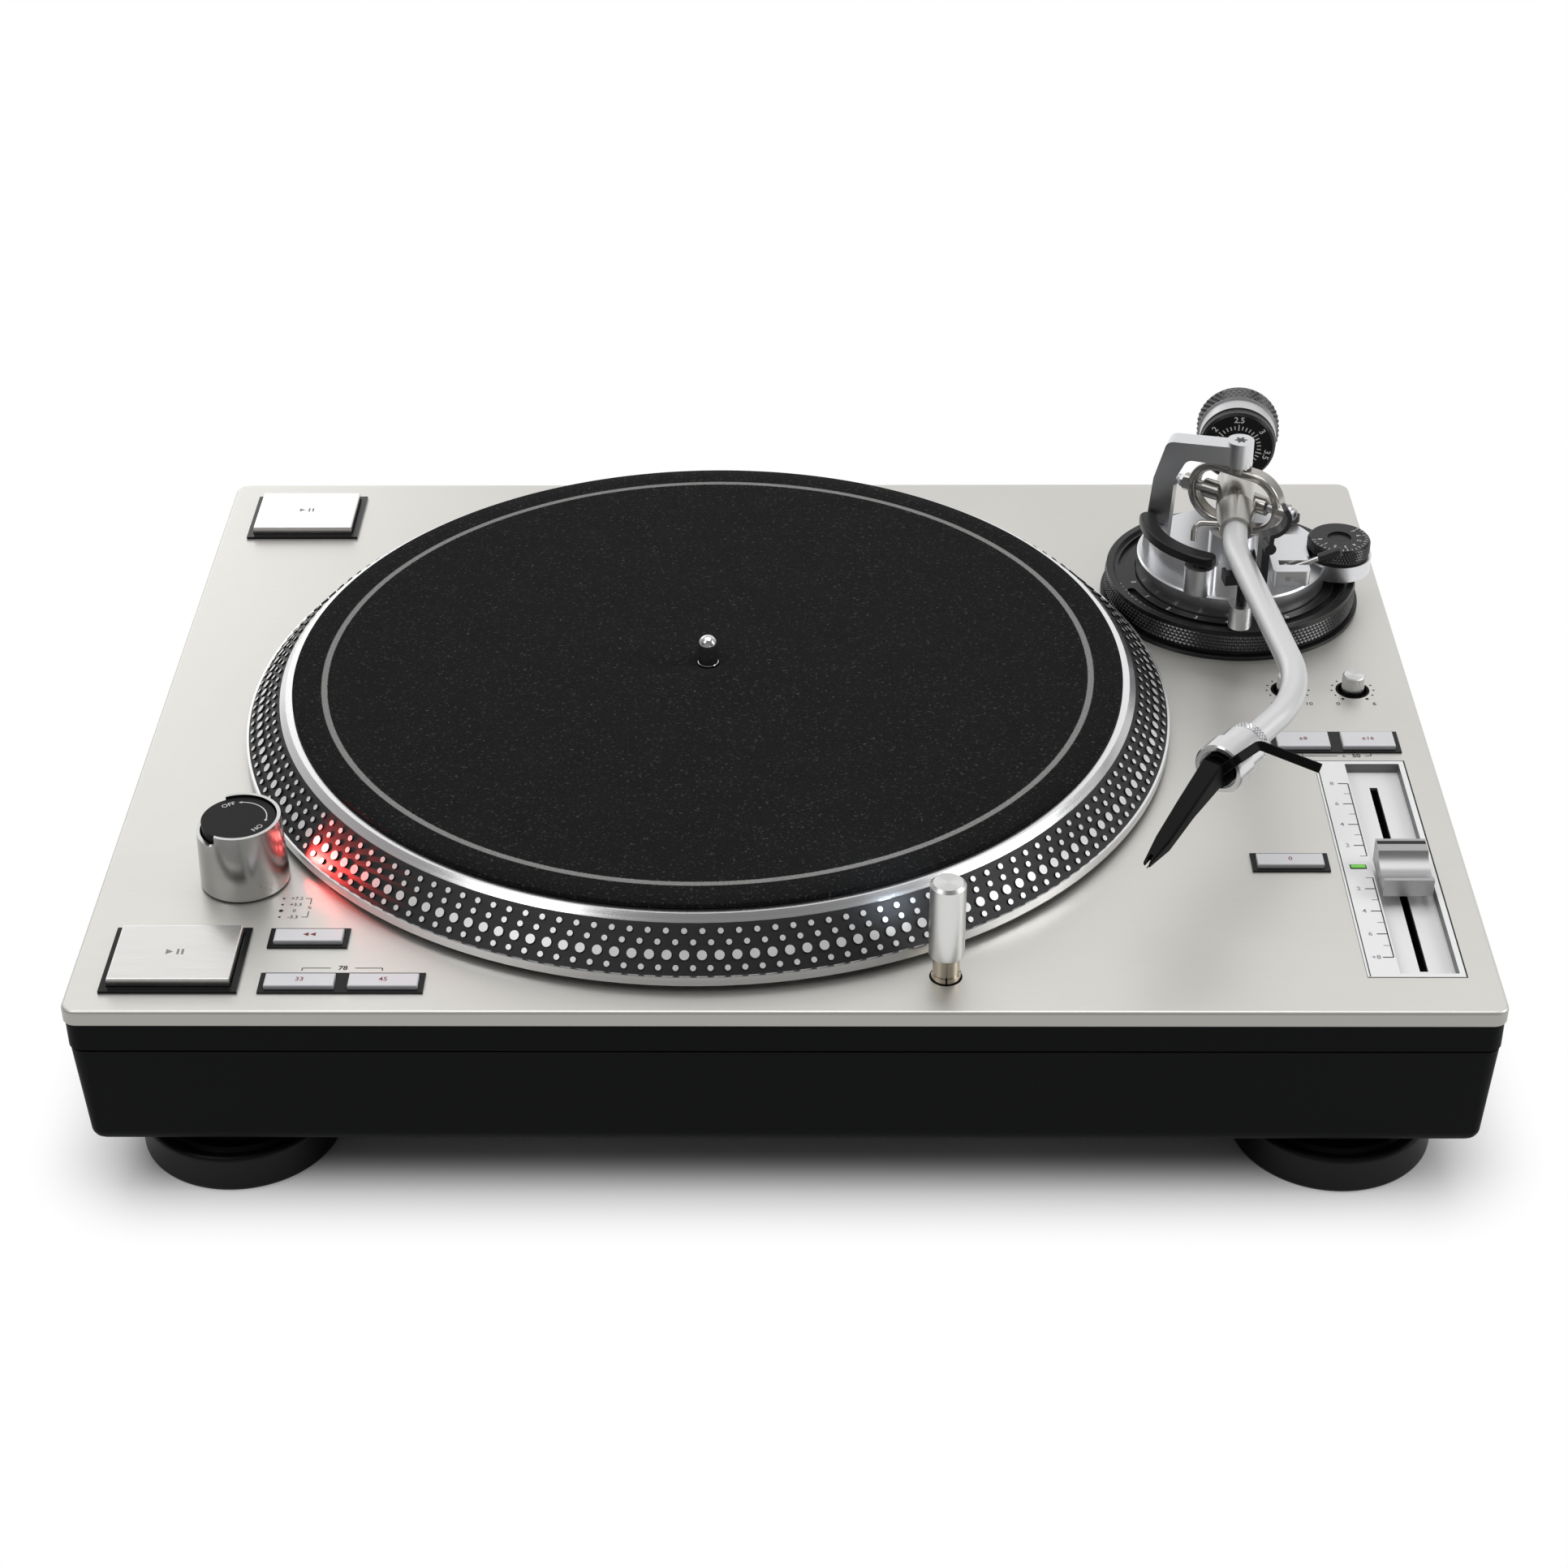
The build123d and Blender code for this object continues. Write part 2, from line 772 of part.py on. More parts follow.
# Platter: a heavy rim with the sloped strobe band, a thin web and a hub that sits on the spindle cone
web_under = deck_top + platter_top - platter_web
platter_face = deck_top + platter_top
cone_top = platter_face - hub_cover
cone_bottom = cone_top - cone_depth
lip_top = deck_top + platter_lift + platter_lip
spindle_axis = Axis((platter_x, platter_y, 0), (0, 0, 1))
with BuildPart() as platter:
    with BuildSketch(standing_plane(platter_x, platter_y)):
        with BuildLine():
            Polyline((spindle_root_radius + seat_gap, platter_face),
                     (spindle_root_radius + seat_gap, cone_top),
                     (cone_top_radius + seat_gap, cone_top), (cone_radius + seat_gap, cone_bottom),
                     (platter_hub_radius, cone_bottom), (platter_hub_radius, web_under),
                     (platter_inner, web_under),
                     (platter_inner + platter_inner_draft, deck_top + platter_lift),
                     (platter_radius, deck_top + platter_lift), (platter_radius, lip_top),
                     (platter_radius - platter_ledge, lip_top), (strobe_inner, platter_face - strobe_drop),
                     (platter_flat, platter_face), close=True)
        make_face()
    revolve(axis=spindle_axis)
platter.part.label = "platter"
export_step(platter.part, "parts/platter.step")

# Ring magnet under the platter web
magnet_bottom = web_under - magnet_height
with BuildPart() as magnet_ring:
    with BuildSketch(Plane.XY.offset(magnet_bottom)):
        with Locations((platter_x, platter_y)):
            Circle(magnet_outer)
            Circle(magnet_inner, mode=Mode.SUBTRACT)
    extrude(amount=magnet_height)
magnet_ring.part.label = "magnet_ring"
export_step(magnet_ring.part, "parts/magnet_ring.step")

# Spindle: domed record pin, seat cone for the platter and bearing shaft
shaft_bottom = deck_top - shaft_depth
spindle_root_top = platter_face + seat_gap + mat_thickness + spindle_root_above
dome_start = (spindle_radius, platter_face + spindle_above - spindle_radius)
dome_end = (0, platter_face + spindle_above)
with BuildPart() as spindle:
    with BuildSketch(standing_plane(platter_x, platter_y)):
        with BuildLine():
            Polyline((0, shaft_bottom), (shaft_radius, shaft_bottom), (shaft_radius, cone_bottom),
                     (cone_radius, cone_bottom), (cone_top_radius, cone_top),
                     (spindle_root_radius, cone_top), (spindle_root_radius, spindle_root_top),
                     (spindle_radius, spindle_root_top), dome_start)
            RadiusArc(dome_start, dome_end, -spindle_radius)
            Line(dome_end, (0, shaft_bottom))
        make_face()
    revolve(axis=spindle_axis)
spindle.part.label = "spindle"
export_step(spindle.part, "parts/spindle.step")

# Slip mat on the platter
with BuildPart() as slipmat:
    with BuildSketch(Plane.XY.offset(platter_face + seat_gap)):
        with Locations((platter_x, platter_y)):
            Circle(mat_radius)
            Circle(mat_hole, mode=Mode.SUBTRACT)
    extrude(amount=mat_thickness)
slipmat.part.label = "slipmat"
export_step(slipmat.part, "parts/slipmat.step")

# Motor plate under the face plate, with the tube that holds the bearing
bush_radius = shaft_radius + pin_gap + bush_wall
with BuildPart() as motor_plate:
    with BuildSketch(Plane.XY.offset(plate_under - motor_plate_thickness)):
        with Locations((platter_x, platter_y)):
            Circle(motor_flange)
    extrude(amount=motor_plate_thickness)
    with BuildSketch(Plane.XY.offset(plate_under)):
        with Locations((platter_x, platter_y)):
            Circle(motor_opening - seat_gap)
    extrude(amount=plate_face + motor_rise)
    with BuildSketch(deck_plane(-motor_boss_depth)):
        with Locations((platter_x, platter_y)):
            Circle(motor_boss_radius)
    extrude(amount=motor_boss_depth)
    with BuildSketch(deck_plane(motor_rise)):
        with Locations((platter_x, platter_y)):
            Circle(bush_radius + pin_gap)
    extrude(amount=-(motor_rise + motor_boss_depth), mode=Mode.SUBTRACT)
motor_plate.part.label = "motor_plate"
export_step(motor_plate.part, "parts/motor_plate.step")

# Stator board with its ring of flat coils
coil_height = magnet_bottom - air_gap - (deck_top + motor_rise + stator_board)
with BuildPart() as stator_coils:
    with BuildSketch(deck_plane(motor_rise)):
        with Locations((platter_x, platter_y)):
            Circle(stator_radius)
            Circle(bush_flange_radius + running_gap, mode=Mode.SUBTRACT)
    extrude(amount=stator_board)
    with BuildSketch(deck_plane(motor_rise + stator_board)):
        with Locations((platter_x, platter_y)):
            with PolarLocations(coil_ring, coil_count):
                Circle(coil_radius)
                Circle(coil_hole, mode=Mode.SUBTRACT)
    extrude(amount=coil_height)
stator_coils.part.label = "stator_coils"
export_step(stator_coils.part, "parts/stator_coils.step")

# Bearing bush with a closed floor under the shaft
bush_bottom = shaft_bottom - running_gap - bush_floor
with BuildPart() as bearing_bush:
    with BuildSketch(Plane.XY.offset(bush_bottom)):
        with Locations((platter_x, platter_y)):
            Circle(bush_radius)
    extrude(amount=deck_top + bush_rise - bush_bottom)
    with BuildSketch(deck_plane(motor_rise)):
        with Locations((platter_x, platter_y)):
            Circle(bush_flange_radius)
    extrude(amount=bush_flange)
    with BuildSketch(deck_plane(bush_rise)):
        with Locations((platter_x, platter_y)):
            Circle(shaft_radius + pin_gap)
    extrude(amount=bush_bottom + bush_floor - deck_top - bush_rise, mode=Mode.SUBTRACT)
bearing_bush.part.label = "bearing_bush"
export_step(bearing_bush.part, "parts/bearing_bush.step")

# Button places: name, centre, length, width and height above the deck
speed_places = [(speed_x - speed_pitch / 2, speed_y), (speed_x + speed_pitch / 2, speed_y)]
range_places = [(range_x - range_pitch / 2, range_y), (range_x + range_pitch / 2, range_y)]
buttons = [("start_button_front", start_x, start_front_y, start_length, start_width, start_rise),
           ("start_button_rear", start_x, start_rear_y, start_length, start_width, start_rise),
           ("reverse_button", reverse_x, reverse_y, small_length, small_width, small_rise),
           ("speed_33_button", *speed_places[0], small_length, small_width, small_rise),
           ("speed_45_button", *speed_places[1], small_length, small_width, small_rise),
           ("range_8_button", *range_places[0], range_length, range_width, small_rise),
           ("range_16_button", *range_places[1], range_length, range_width, small_rise),
           ("reset_button", reset_x, reset_y, small_length, small_width, small_rise)]

# Button bezels: flanged trays in the face plate, with guide holes for the stems
with BuildPart() as button_bezels:
    with BuildSketch(deck_plane(0)):
        with Locations((start_x, start_front_y), (start_x, start_rear_y)):
            Rectangle(start_flange_length, start_flange_width)
    extrude(amount=start_flange_rise)
    with BuildSketch(deck_plane(0)):
        with Locations((reverse_x, reverse_y), (reset_x, reset_y)):
            Rectangle(small_length + 2 * small_flange, small_width + 2 * small_flange)
        with Locations((speed_x, speed_y)):
            Rectangle(small_length + speed_pitch + 2 * small_flange, small_width + 2 * small_flange)
        with Locations((range_x, range_y)):
            Rectangle(range_length + range_pitch + 2 * small_flange, range_width + 2 * small_flange)
    extrude(amount=small_flange_rise)
    with BuildSketch(deck_plane(-bezel_depth)):
        with Locations((start_x, start_front_y), (start_x, start_rear_y)):
            Rectangle(start_flange_length - 2 * bezel_lip, start_flange_width - 2 * bezel_lip)
        with Locations((reverse_x, reverse_y), (reset_x, reset_y)):
            Rectangle(small_length + 2 * (small_flange - bezel_lip),
                      small_width + 2 * (small_flange - bezel_lip))
        with Locations((speed_x, speed_y)):
            Rectangle(small_length + speed_pitch + 2 * (small_flange - bezel_lip),
                      small_width + 2 * (small_flange - bezel_lip))
        with Locations((range_x, range_y)):
            Rectangle(range_length + range_pitch + 2 * (small_flange - bezel_lip),
                      range_width + 2 * (small_flange - bezel_lip))
    extrude(amount=bezel_depth)
    with BuildSketch(deck_plane(bezel_floor - bezel_depth)):
        for _, x, y, length, width, _ in buttons:
            with Locations((x, y)):
                Rectangle(length + 2 * running_gap, width + 2 * running_gap)
    extrude(amount=bezel_depth + start_flange_rise, mode=Mode.SUBTRACT)
    with BuildSketch(deck_plane(-bezel_depth)):
        for _, x, y, _, _, _ in buttons:
            with Locations((x, y)):
                Circle(stem_radius + pin_gap)
    extrude(amount=bezel_floor, mode=Mode.SUBTRACT)
button_bezels.part.label = "button_bezels"
export_step(button_bezels.part, "parts/button_bezels.step")

# Button caps, each on a stem that slides in its bezel
for button_name, x, y, length, width, rise in buttons:
    with BuildPart() as button:
        with BuildSketch(deck_plane(-cap_below)):
            with Locations((x, y)):
                Rectangle(length, width)
        extrude(amount=cap_below + rise)
        fillet(button.faces().sort_by(Axis.Z)[-1].edges(), cap_round)
        with BuildSketch(deck_plane(-bezel_depth)):
            with Locations((x, y)):
                Circle(stem_radius)
        extrude(amount=bezel_depth - cap_below)
    button.part.label = button_name
    export_step(button.part, f"parts/{button_name}.step")

# Strobe core: the fixed black column inside the power switch
window_out = Vector(cos(radians(window_angle)), sin(radians(window_angle)), 0)
window_plane = Plane(origin=(tower_x, tower_y, deck_top + window_base + window_height / 2),
                     x_dir=(-window_out.Y, window_out.X, 0), z_dir=window_out)
with BuildPart() as strobe_core:
    with BuildSketch(deck_plane(-core_depth)):
        with Locations((tower_x, tower_y)):
            Circle(core_radius)
    extrude(amount=core_depth + core_rise)
    with BuildSketch(Plane.XY.offset(plate_under)):
        with Locations((tower_x, tower_y)):
            Circle(core_flange)
    extrude(amount=-core_flange_thickness)
    with BuildSketch(window_plane.offset(core_radius - window_depth)):
        Rectangle(window_width + 2 * seat_gap, window_height + 2 * seat_gap)
    extrude(amount=window_depth, mode=Mode.SUBTRACT)
strobe_core.part.label = "strobe_core"
export_step(strobe_core.part, "parts/strobe_core.step")

# Red window of the strobe light, in a pocket of the core
with BuildPart() as strobe_window:
    with BuildSketch(window_plane.offset(core_radius - window_depth)):
        Rectangle(window_width, window_height)
    extrude(amount=window_depth - seat_gap)
strobe_window.part.label = "strobe_window"
export_step(strobe_window.part, "parts/strobe_window.step")

# Turning sleeve of the power switch, with its lowered rim on one side and the slot for the light
with BuildPart() as power_sleeve:
    with BuildSketch(standing_plane(tower_x, tower_y, deck_top)):
        with BuildLine():
            Polyline((sleeve_base_radius - sleeve_wall, sleeve_off_deck),
                     (sleeve_base_radius, sleeve_off_deck), (sleeve_top_radius, sleeve_height),
                     (sleeve_top_radius - sleeve_wall, sleeve_height), close=True)
        make_face()
    revolve(axis=Axis((tower_x, tower_y, 0), (0, 0, 1)))
    with BuildSketch(Plane.XZ.offset(-tower_y)) as step_cut:
        with Locations((tower_x - sleeve_step_from_axis - sleeve_base_radius, deck_top + sleeve_height)):
            Rectangle(2 * sleeve_base_radius, 2 * sleeve_step)
        fillet(step_cut.vertices(), sleeve_step_round)
    extrude(amount=sleeve_base_radius, both=True, mode=Mode.SUBTRACT)
    with BuildSketch(window_plane):
        Rectangle(window_width, window_height)
    extrude(amount=sleeve_base_radius, mode=Mode.SUBTRACT)
power_sleeve.part.label = "power_sleeve"
export_step(power_sleeve.part, "parts/power_sleeve.step")

# Socket of the record lamp
lamp_socket_radius = lamp_stem_radius + pin_gap + lamp_socket_wall
with BuildPart() as lamp_socket:
    with BuildSketch(deck_plane(-lamp_socket_depth)):
        with Locations((lamp_x, lamp_y)):
            Circle(lamp_socket_radius)
    extrude(amount=lamp_socket_depth)
    with BuildSketch(Plane.XY.offset(plate_under)):
        with Locations((lamp_x, lamp_y)):
            Circle(lamp_socket_flange)
    extrude(amount=-lamp_socket_floor)
    with BuildSketch(deck_plane(0)):
        with Locations((lamp_x, lamp_y)):
            Circle(lamp_stem_radius + pin_gap)
    extrude(amount=lamp_socket_floor - lamp_socket_depth, mode=Mode.SUBTRACT)
lamp_socket.part.label = "lamp_socket"
export_step(lamp_socket.part, "parts/lamp_socket.step")

# Record lamp: body over a slit collet foot, on a stem that plugs into the socket
with BuildPart() as lamp_body:
    with BuildSketch(deck_plane(lamp_foot)):
        with Locations((lamp_x, lamp_y)):
            Circle(lamp_radius)
    extrude(amount=lamp_top - lamp_foot)
    chamfer(lamp_body.edges().filter_by(GeomType.CIRCLE), lamp_chamfer)
    with BuildSketch(deck_plane(running_gap)):
        with Locations((lamp_x, lamp_y)):
            Circle(lamp_foot_radius - lamp_chamfer / 2)
    extrude(amount=lamp_foot - running_gap)
    with BuildSketch(deck_plane(running_gap)):
        with Locations((lamp_x, lamp_y)):
            Circle(lamp_foot_radius)
    extrude(amount=lamp_ring)
    with BuildSketch(deck_plane(running_gap)):
        with Locations((lamp_x, lamp_y)):
            Rectangle(2 * lamp_foot_radius, lamp_collet_slot)
            Rectangle(lamp_collet_slot, 2 * lamp_foot_radius)
            Circle(lamp_stem_radius, mode=Mode.SUBTRACT)
    extrude(amount=lamp_foot - running_gap, mode=Mode.SUBTRACT)
    with BuildSketch(deck_plane(running_gap)):
        with Locations((lamp_x, lamp_y)):
            Circle(lamp_stem_radius)
    extrude(amount=-(lamp_stem + running_gap))
lamp_body.part.label = "lamp_body"
export_step(lamp_body.part, "parts/lamp_body.step")

# Wells of the two small knobs, with the control under each
with BuildPart() as knob_wells:
    with BuildSketch(deck_plane(-well_depth)):
        with Locations((torque_x, knob_y), (brake_x, knob_y)):
            Circle(well_radius)
    extrude(amount=well_depth)
    with BuildSketch(deck_plane(-well_depth - pot_height)):
        with Locations((torque_x, knob_y), (brake_x, knob_y)):
            Circle(pot_radius)
    extrude(amount=pot_height)
    with BuildSketch(deck_plane(well_floor - well_depth)):
        with Locations((torque_x, knob_y), (brake_x, knob_y)):
            Circle(well_radius - well_wall)
    extrude(amount=well_depth, mode=Mode.SUBTRACT)
    with BuildSketch(deck_plane(-well_depth - pot_height)):
        with Locations((torque_x, knob_y), (brake_x, knob_y)):
            Circle(knob_shaft_radius + pin_gap)
    extrude(amount=pot_height + well_floor, mode=Mode.SUBTRACT)
knob_wells.part.label = "knob_wells"
export_step(knob_wells.part, "parts/knob_wells.step")

# The two knobs, each on a shaft through its well
for knob_name, x in (("torque_knob", torque_x), ("brake_knob", brake_x)):
    with BuildPart() as knob:
        with BuildSketch(deck_plane(-knob_below)):
            with Locations((x, knob_y)):
                Circle(knob_radius)
        extrude(amount=knob_below + knob_rise)
        chamfer(knob.faces().sort_by(Axis.Z)[-1].edges(), knob_chamfer)
        with BuildSketch(deck_plane(-well_depth - pot_height)):
            with Locations((x, knob_y)):
                Circle(knob_shaft_radius)
        extrude(amount=well_depth + pot_height - knob_below)
    knob.part.label = knob_name
    export_step(knob.part, f"parts/{knob_name}.step")

# Fader tray: raised scale strip beside a sunken track with the slot
track_left = tray_x - tray_width / 2 + scale_width
track_right = tray_x + tray_width / 2 - tray_rim
led_x = fader_x - led_from_fader
with BuildPart() as fader_tray:
    with BuildSketch(deck_plane(-tray_depth)):
        with Locations((tray_x, tray_y)):
            Rectangle(tray_width, tray_length)
    extrude(amount=tray_depth + tray_rise)
    with BuildSketch(deck_plane(-tray_depth)):
        with Locations((tray_x, tray_y)):
            Rectangle(tray_width + 2 * tray_flange, tray_length + 2 * tray_flange)
    extrude(amount=tray_depth - plate_face - seat_gap)
    with BuildSketch(deck_plane(tray_floor - tray_depth)):
        with Locations(((track_left + track_right) / 2, tray_y)):
            Rectangle(track_right - track_left, tray_length - 2 * tray_rim)
    extrude(amount=tray_depth, mode=Mode.SUBTRACT)
    with BuildSketch(deck_plane(-tray_depth)):
        with Locations((fader_x, fader_zero_y)):
            Rectangle(slot_width, 2 * (fader_travel + running_gap) + fader_stem_length)
    extrude(amount=tray_floor, mode=Mode.SUBTRACT)
    with BuildSketch(deck_plane(-led_depth)):
        with Locations((led_x, fader_zero_y)):
            Rectangle(led_length + 2 * seat_gap, led_width + 2 * seat_gap)
    extrude(amount=led_depth + tray_rise, mode=Mode.SUBTRACT)
fader_tray.part.label = "fader_tray"
export_step(fader_tray.part, "parts/fader_tray.step")

# Centre light of the pitch scale
with BuildPart() as pitch_zero_led:
    with BuildSketch(deck_plane(-led_depth)):
        with Locations((led_x, fader_zero_y)):
            Rectangle(led_length, led_width)
    extrude(amount=led_depth + tray_rise)
pitch_zero_led.part.label = "pitch_zero_led"
export_step(pitch_zero_led.part, "parts/pitch_zero_led.step")

# Slide potentiometer under the tray, an open channel for the stem
fader_body_length = 2 * (fader_travel + running_gap) + fader_stem_length + 2 * fader_body_wall
with BuildPart() as fader_potentiometer:
    with BuildSketch(deck_plane(-tray_depth)):
        with Locations((fader_x, fader_zero_y)):
            Rectangle(fader_body_width, fader_body_length)
    extrude(amount=-fader_body_height)
    with BuildSketch(deck_plane(-tray_depth)):
        with Locations((fader_x, fader_zero_y)):
            Rectangle(slot_width, fader_body_length - 2 * fader_body_wall)
    extrude(amount=fader_body_wall - fader_body_height, mode=Mode.SUBTRACT)
fader_potentiometer.part.label = "fader_potentiometer"
export_step(fader_potentiometer.part, "parts/fader_potentiometer.step")

# Fader knob: a ridge with the index line at the back, a hollow for the finger and a lip at the front
hollow_start = (fader_knob_back - fader_knob_flat, fader_knob_top)
hollow_end = (fader_knob_lip - fader_knob_front, fader_knob_front_top)
hollow_middle = ((hollow_start[0] + hollow_end[0]) / 2,
                 (hollow_start[1] + hollow_end[1]) / 2 - fader_knob_hollow)
with BuildPart() as fader_knob:
    with BuildSketch(upright_plane((fader_x, fader_zero_y, deck_top), Vector(0, 1, 0))):
        with BuildLine():
            Polyline(hollow_end, (-fader_knob_front, fader_knob_front_top),
                     (-fader_knob_front, fader_knob_under), (fader_knob_back, fader_knob_under),
                     (fader_knob_back, fader_knob_top), hollow_start)
            ThreePointArc(hollow_start, hollow_middle, hollow_end)
        make_face()
    extrude(amount=fader_knob_width / 2, both=True)
    with BuildSketch(deck_plane(fader_knob_under)):
        with Locations((fader_x, fader_zero_y)):
            Rectangle(fader_stem_width, fader_stem_length)
    extrude(amount=-(fader_knob_under + tray_depth + fader_body_height - fader_body_wall - running_gap))
fader_knob.part.label = "fader_knob"
export_step(fader_knob.part, "parts/fader_knob.step")

# Mount of the arm: a flange on the face plate with the bore that guides the arm base
with BuildPart() as arm_mount:
    with BuildSketch(deck_plane(-mount_depth)):
        with Locations((arm_x, arm_y)):
            Circle(mount_radius)
    extrude(amount=mount_depth)
    with BuildSketch(deck_plane(0)):
        with Locations((arm_x, arm_y)):
            Circle(mount_flange_radius)
    extrude(amount=mount_flange)
    with BuildSketch(deck_plane(mount_flange)):
        with Locations((arm_x, arm_y)):
            Circle(mount_collar_radius)
    extrude(amount=mount_collar_top - mount_flange)
    with BuildSketch(deck_plane(-mount_depth)):
        with Locations((arm_x, arm_y)):
            Circle(guide_radius + pin_gap)
    extrude(amount=mount_depth + mount_collar_top, mode=Mode.SUBTRACT)
arm_mount.part.label = "arm_mount"
export_step(arm_mount.part, "parts/arm_mount.step")

# Height ring turning on the collar, with arc channels in its dished top
ring_floor = ring_top - ring_dish
ring_channel = CenterArc((0, 0), ring_channel_radius, ring_channel_start, ring_channel_angle)
with BuildPart() as height_ring:
    with BuildSketch(standing_plane(arm_x, arm_y, deck_top)):
        with BuildLine():
            Polyline((mount_collar_radius + pin_gap, ring_bottom), (ring_radius, ring_bottom),
                     (ring_radius, ring_top), (ring_radius - ring_rim, ring_top),
                     (ring_radius - ring_rim - ring_dish, ring_floor), (ring_bore, ring_floor),
                     (ring_bore, mount_collar_top + running_gap),
                     (mount_collar_radius + pin_gap, mount_collar_top + running_gap), close=True)
        make_face()
    revolve(axis=Axis((arm_x, arm_y, 0), (0, 0, 1)))
    with BuildSketch(deck_plane(ring_floor)):
        for quarter_turn in (0, 90, 180, 270):
            with Locations(Location((arm_x, arm_y), quarter_turn)):
                SlotArc(ring_channel, ring_channel_width)
    extrude(amount=-ring_channel_depth, mode=Mode.SUBTRACT)
height_ring.part.label = "height_ring"
export_step(height_ring.part, "parts/height_ring.step")

# Arm base: disc, guide tube, pillar with the lower pivot pin, and the seats of everything it carries
lever_x = arm_x + lever_right
lever_y = arm_y - lever_front
skate_x = arm_x + skate_right
skate_y = arm_y - skate_front
skate_block_x = skate_x - skate_radius - 2 * running_gap - skate_block_length / 2
lock_x = arm_x + lock_right
lock_y = arm_y + lock_back
rest_right = Vector(-middle.Y, middle.X, 0)
rest_point = first_corner + middle * rest_along
rest_post = rest_point + rest_right * rest_post_right
rest_web = arm_y - base_radius + base_chamfer - rest_post.Y
lift_stem_place = turned_point(lift_radius, lift_stem_angle)
lift_sweep = lift_end_angle - lift_start_angle
lift_wall_line = CenterArc((0, 0), lift_wall_radius, lift_start_angle, lift_sweep)
with BuildPart() as arm_base:
    with BuildSketch(deck_plane(base_bottom)):
        with Locations((arm_x, arm_y)):
            Circle(base_radius)
    extrude(amount=base_top - base_bottom)
    chamfer(arm_base.faces().sort_by(Axis.Z)[-1].edges(), base_chamfer)
    with BuildSketch(deck_plane(-guide_depth)):
        with Locations((arm_x, arm_y)):
            Circle(guide_radius)
            Circle(guide_radius - guide_wall, mode=Mode.SUBTRACT)
    extrude(amount=guide_depth + base_bottom)
    with BuildSketch(deck_plane(base_top)):
        with Locations((arm_x, arm_y)):
            Circle(pillar_radius)
    extrude(amount=pillar_top - base_top)
    with BuildSketch(deck_plane(pillar_top)):
        with Locations((arm_x, arm_y)):
            Circle(axis_pin_radius)
    extrude(amount=arm_axis - gimbal_seat + axis_pin_reach - pillar_top)
    with BuildSketch(deck_plane(base_top)):
        with Locations((arm_x, arm_y)):
            SlotArc(lift_wall_line, lift_wall_width)
    extrude(amount=lift_wall_top - base_top)
    with BuildSketch(deck_plane(base_top)):
        with Locations(lift_stem_place):
            Circle(lift_boss_radius)
    extrude(amount=lift_boss_top - base_top)
    with BuildSketch(deck_plane(base_top)):
        with Locations((lever_x + lever_block_shift, lever_y)):
            RectangleRounded(lever_block_length, lever_block_width, lever_block_round)
    extrude(amount=lever_block_top - base_top)
    with BuildSketch(deck_plane(lobe_bottom)):
        with Locations((skate_x, skate_y)):
            Circle(lobe_radius)
    extrude(amount=lobe_top - lobe_bottom)
    with BuildSketch(deck_plane(base_top)):
        with Locations((skate_block_x, skate_y)):
            Rectangle(skate_block_length, skate_block_width)
    extrude(amount=skate_block_top - base_top)
    with BuildSketch(deck_plane(rest_boss_bottom)):
        with Locations((rest_post.X, rest_post.Y)):
            Circle(rest_boss_radius)
    extrude(amount=rest_boss_top - rest_boss_bottom)
    with BuildSketch(deck_plane(rest_boss_bottom)):
        with Locations((rest_post.X, rest_post.Y + rest_web / 2)):
            Rectangle(rest_web_width, rest_web)
    extrude(amount=base_top - rest_boss_bottom - base_chamfer)
    with BuildSketch(deck_plane(lift_boss_top)):
        with Locations(lift_stem_place):
            Circle(lift_stem_radius + pin_gap)
    extrude(amount=lift_stem_bottom - running_gap - lift_boss_top, mode=Mode.SUBTRACT)
    with BuildSketch(deck_plane(base_top)):
        with Locations((lever_x - lever_hub_radius - running_gap + lever_block_length / 2, lever_y)):
            Rectangle(lever_block_length, lever_thickness + 2 * running_gap)
    extrude(amount=lever_block_top - base_top, mode=Mode.SUBTRACT)
    with BuildSketch(standing_plane(lever_x, lever_y, deck_top + lever_axis_height)):
        Circle(lever_pin_radius + pin_gap)
    extrude(amount=lever_block_width / 2, both=True, mode=Mode.SUBTRACT)
    with BuildSketch(deck_plane(lobe_top)):
        with Locations((skate_x, skate_y)):
            Circle(skate_pin_radius + pin_gap)
    extrude(amount=-skate_pin_depth - running_gap, mode=Mode.SUBTRACT)
    with BuildSketch(deck_plane(base_top)):
        with Locations((lock_x, lock_y)):
            Circle(lock_pin_radius + pin_gap)
    extrude(amount=-lock_pin_depth - running_gap, mode=Mode.SUBTRACT)
    with BuildSketch(deck_plane(rest_boss_top)):
        with Locations((rest_post.X, rest_post.Y)):
            Circle(rest_post_radius + pin_gap)
    extrude(amount=-rest_stud, mode=Mode.SUBTRACT)
arm_base.part.label = "arm_base"
export_step(arm_base.part, "parts/arm_base.step")

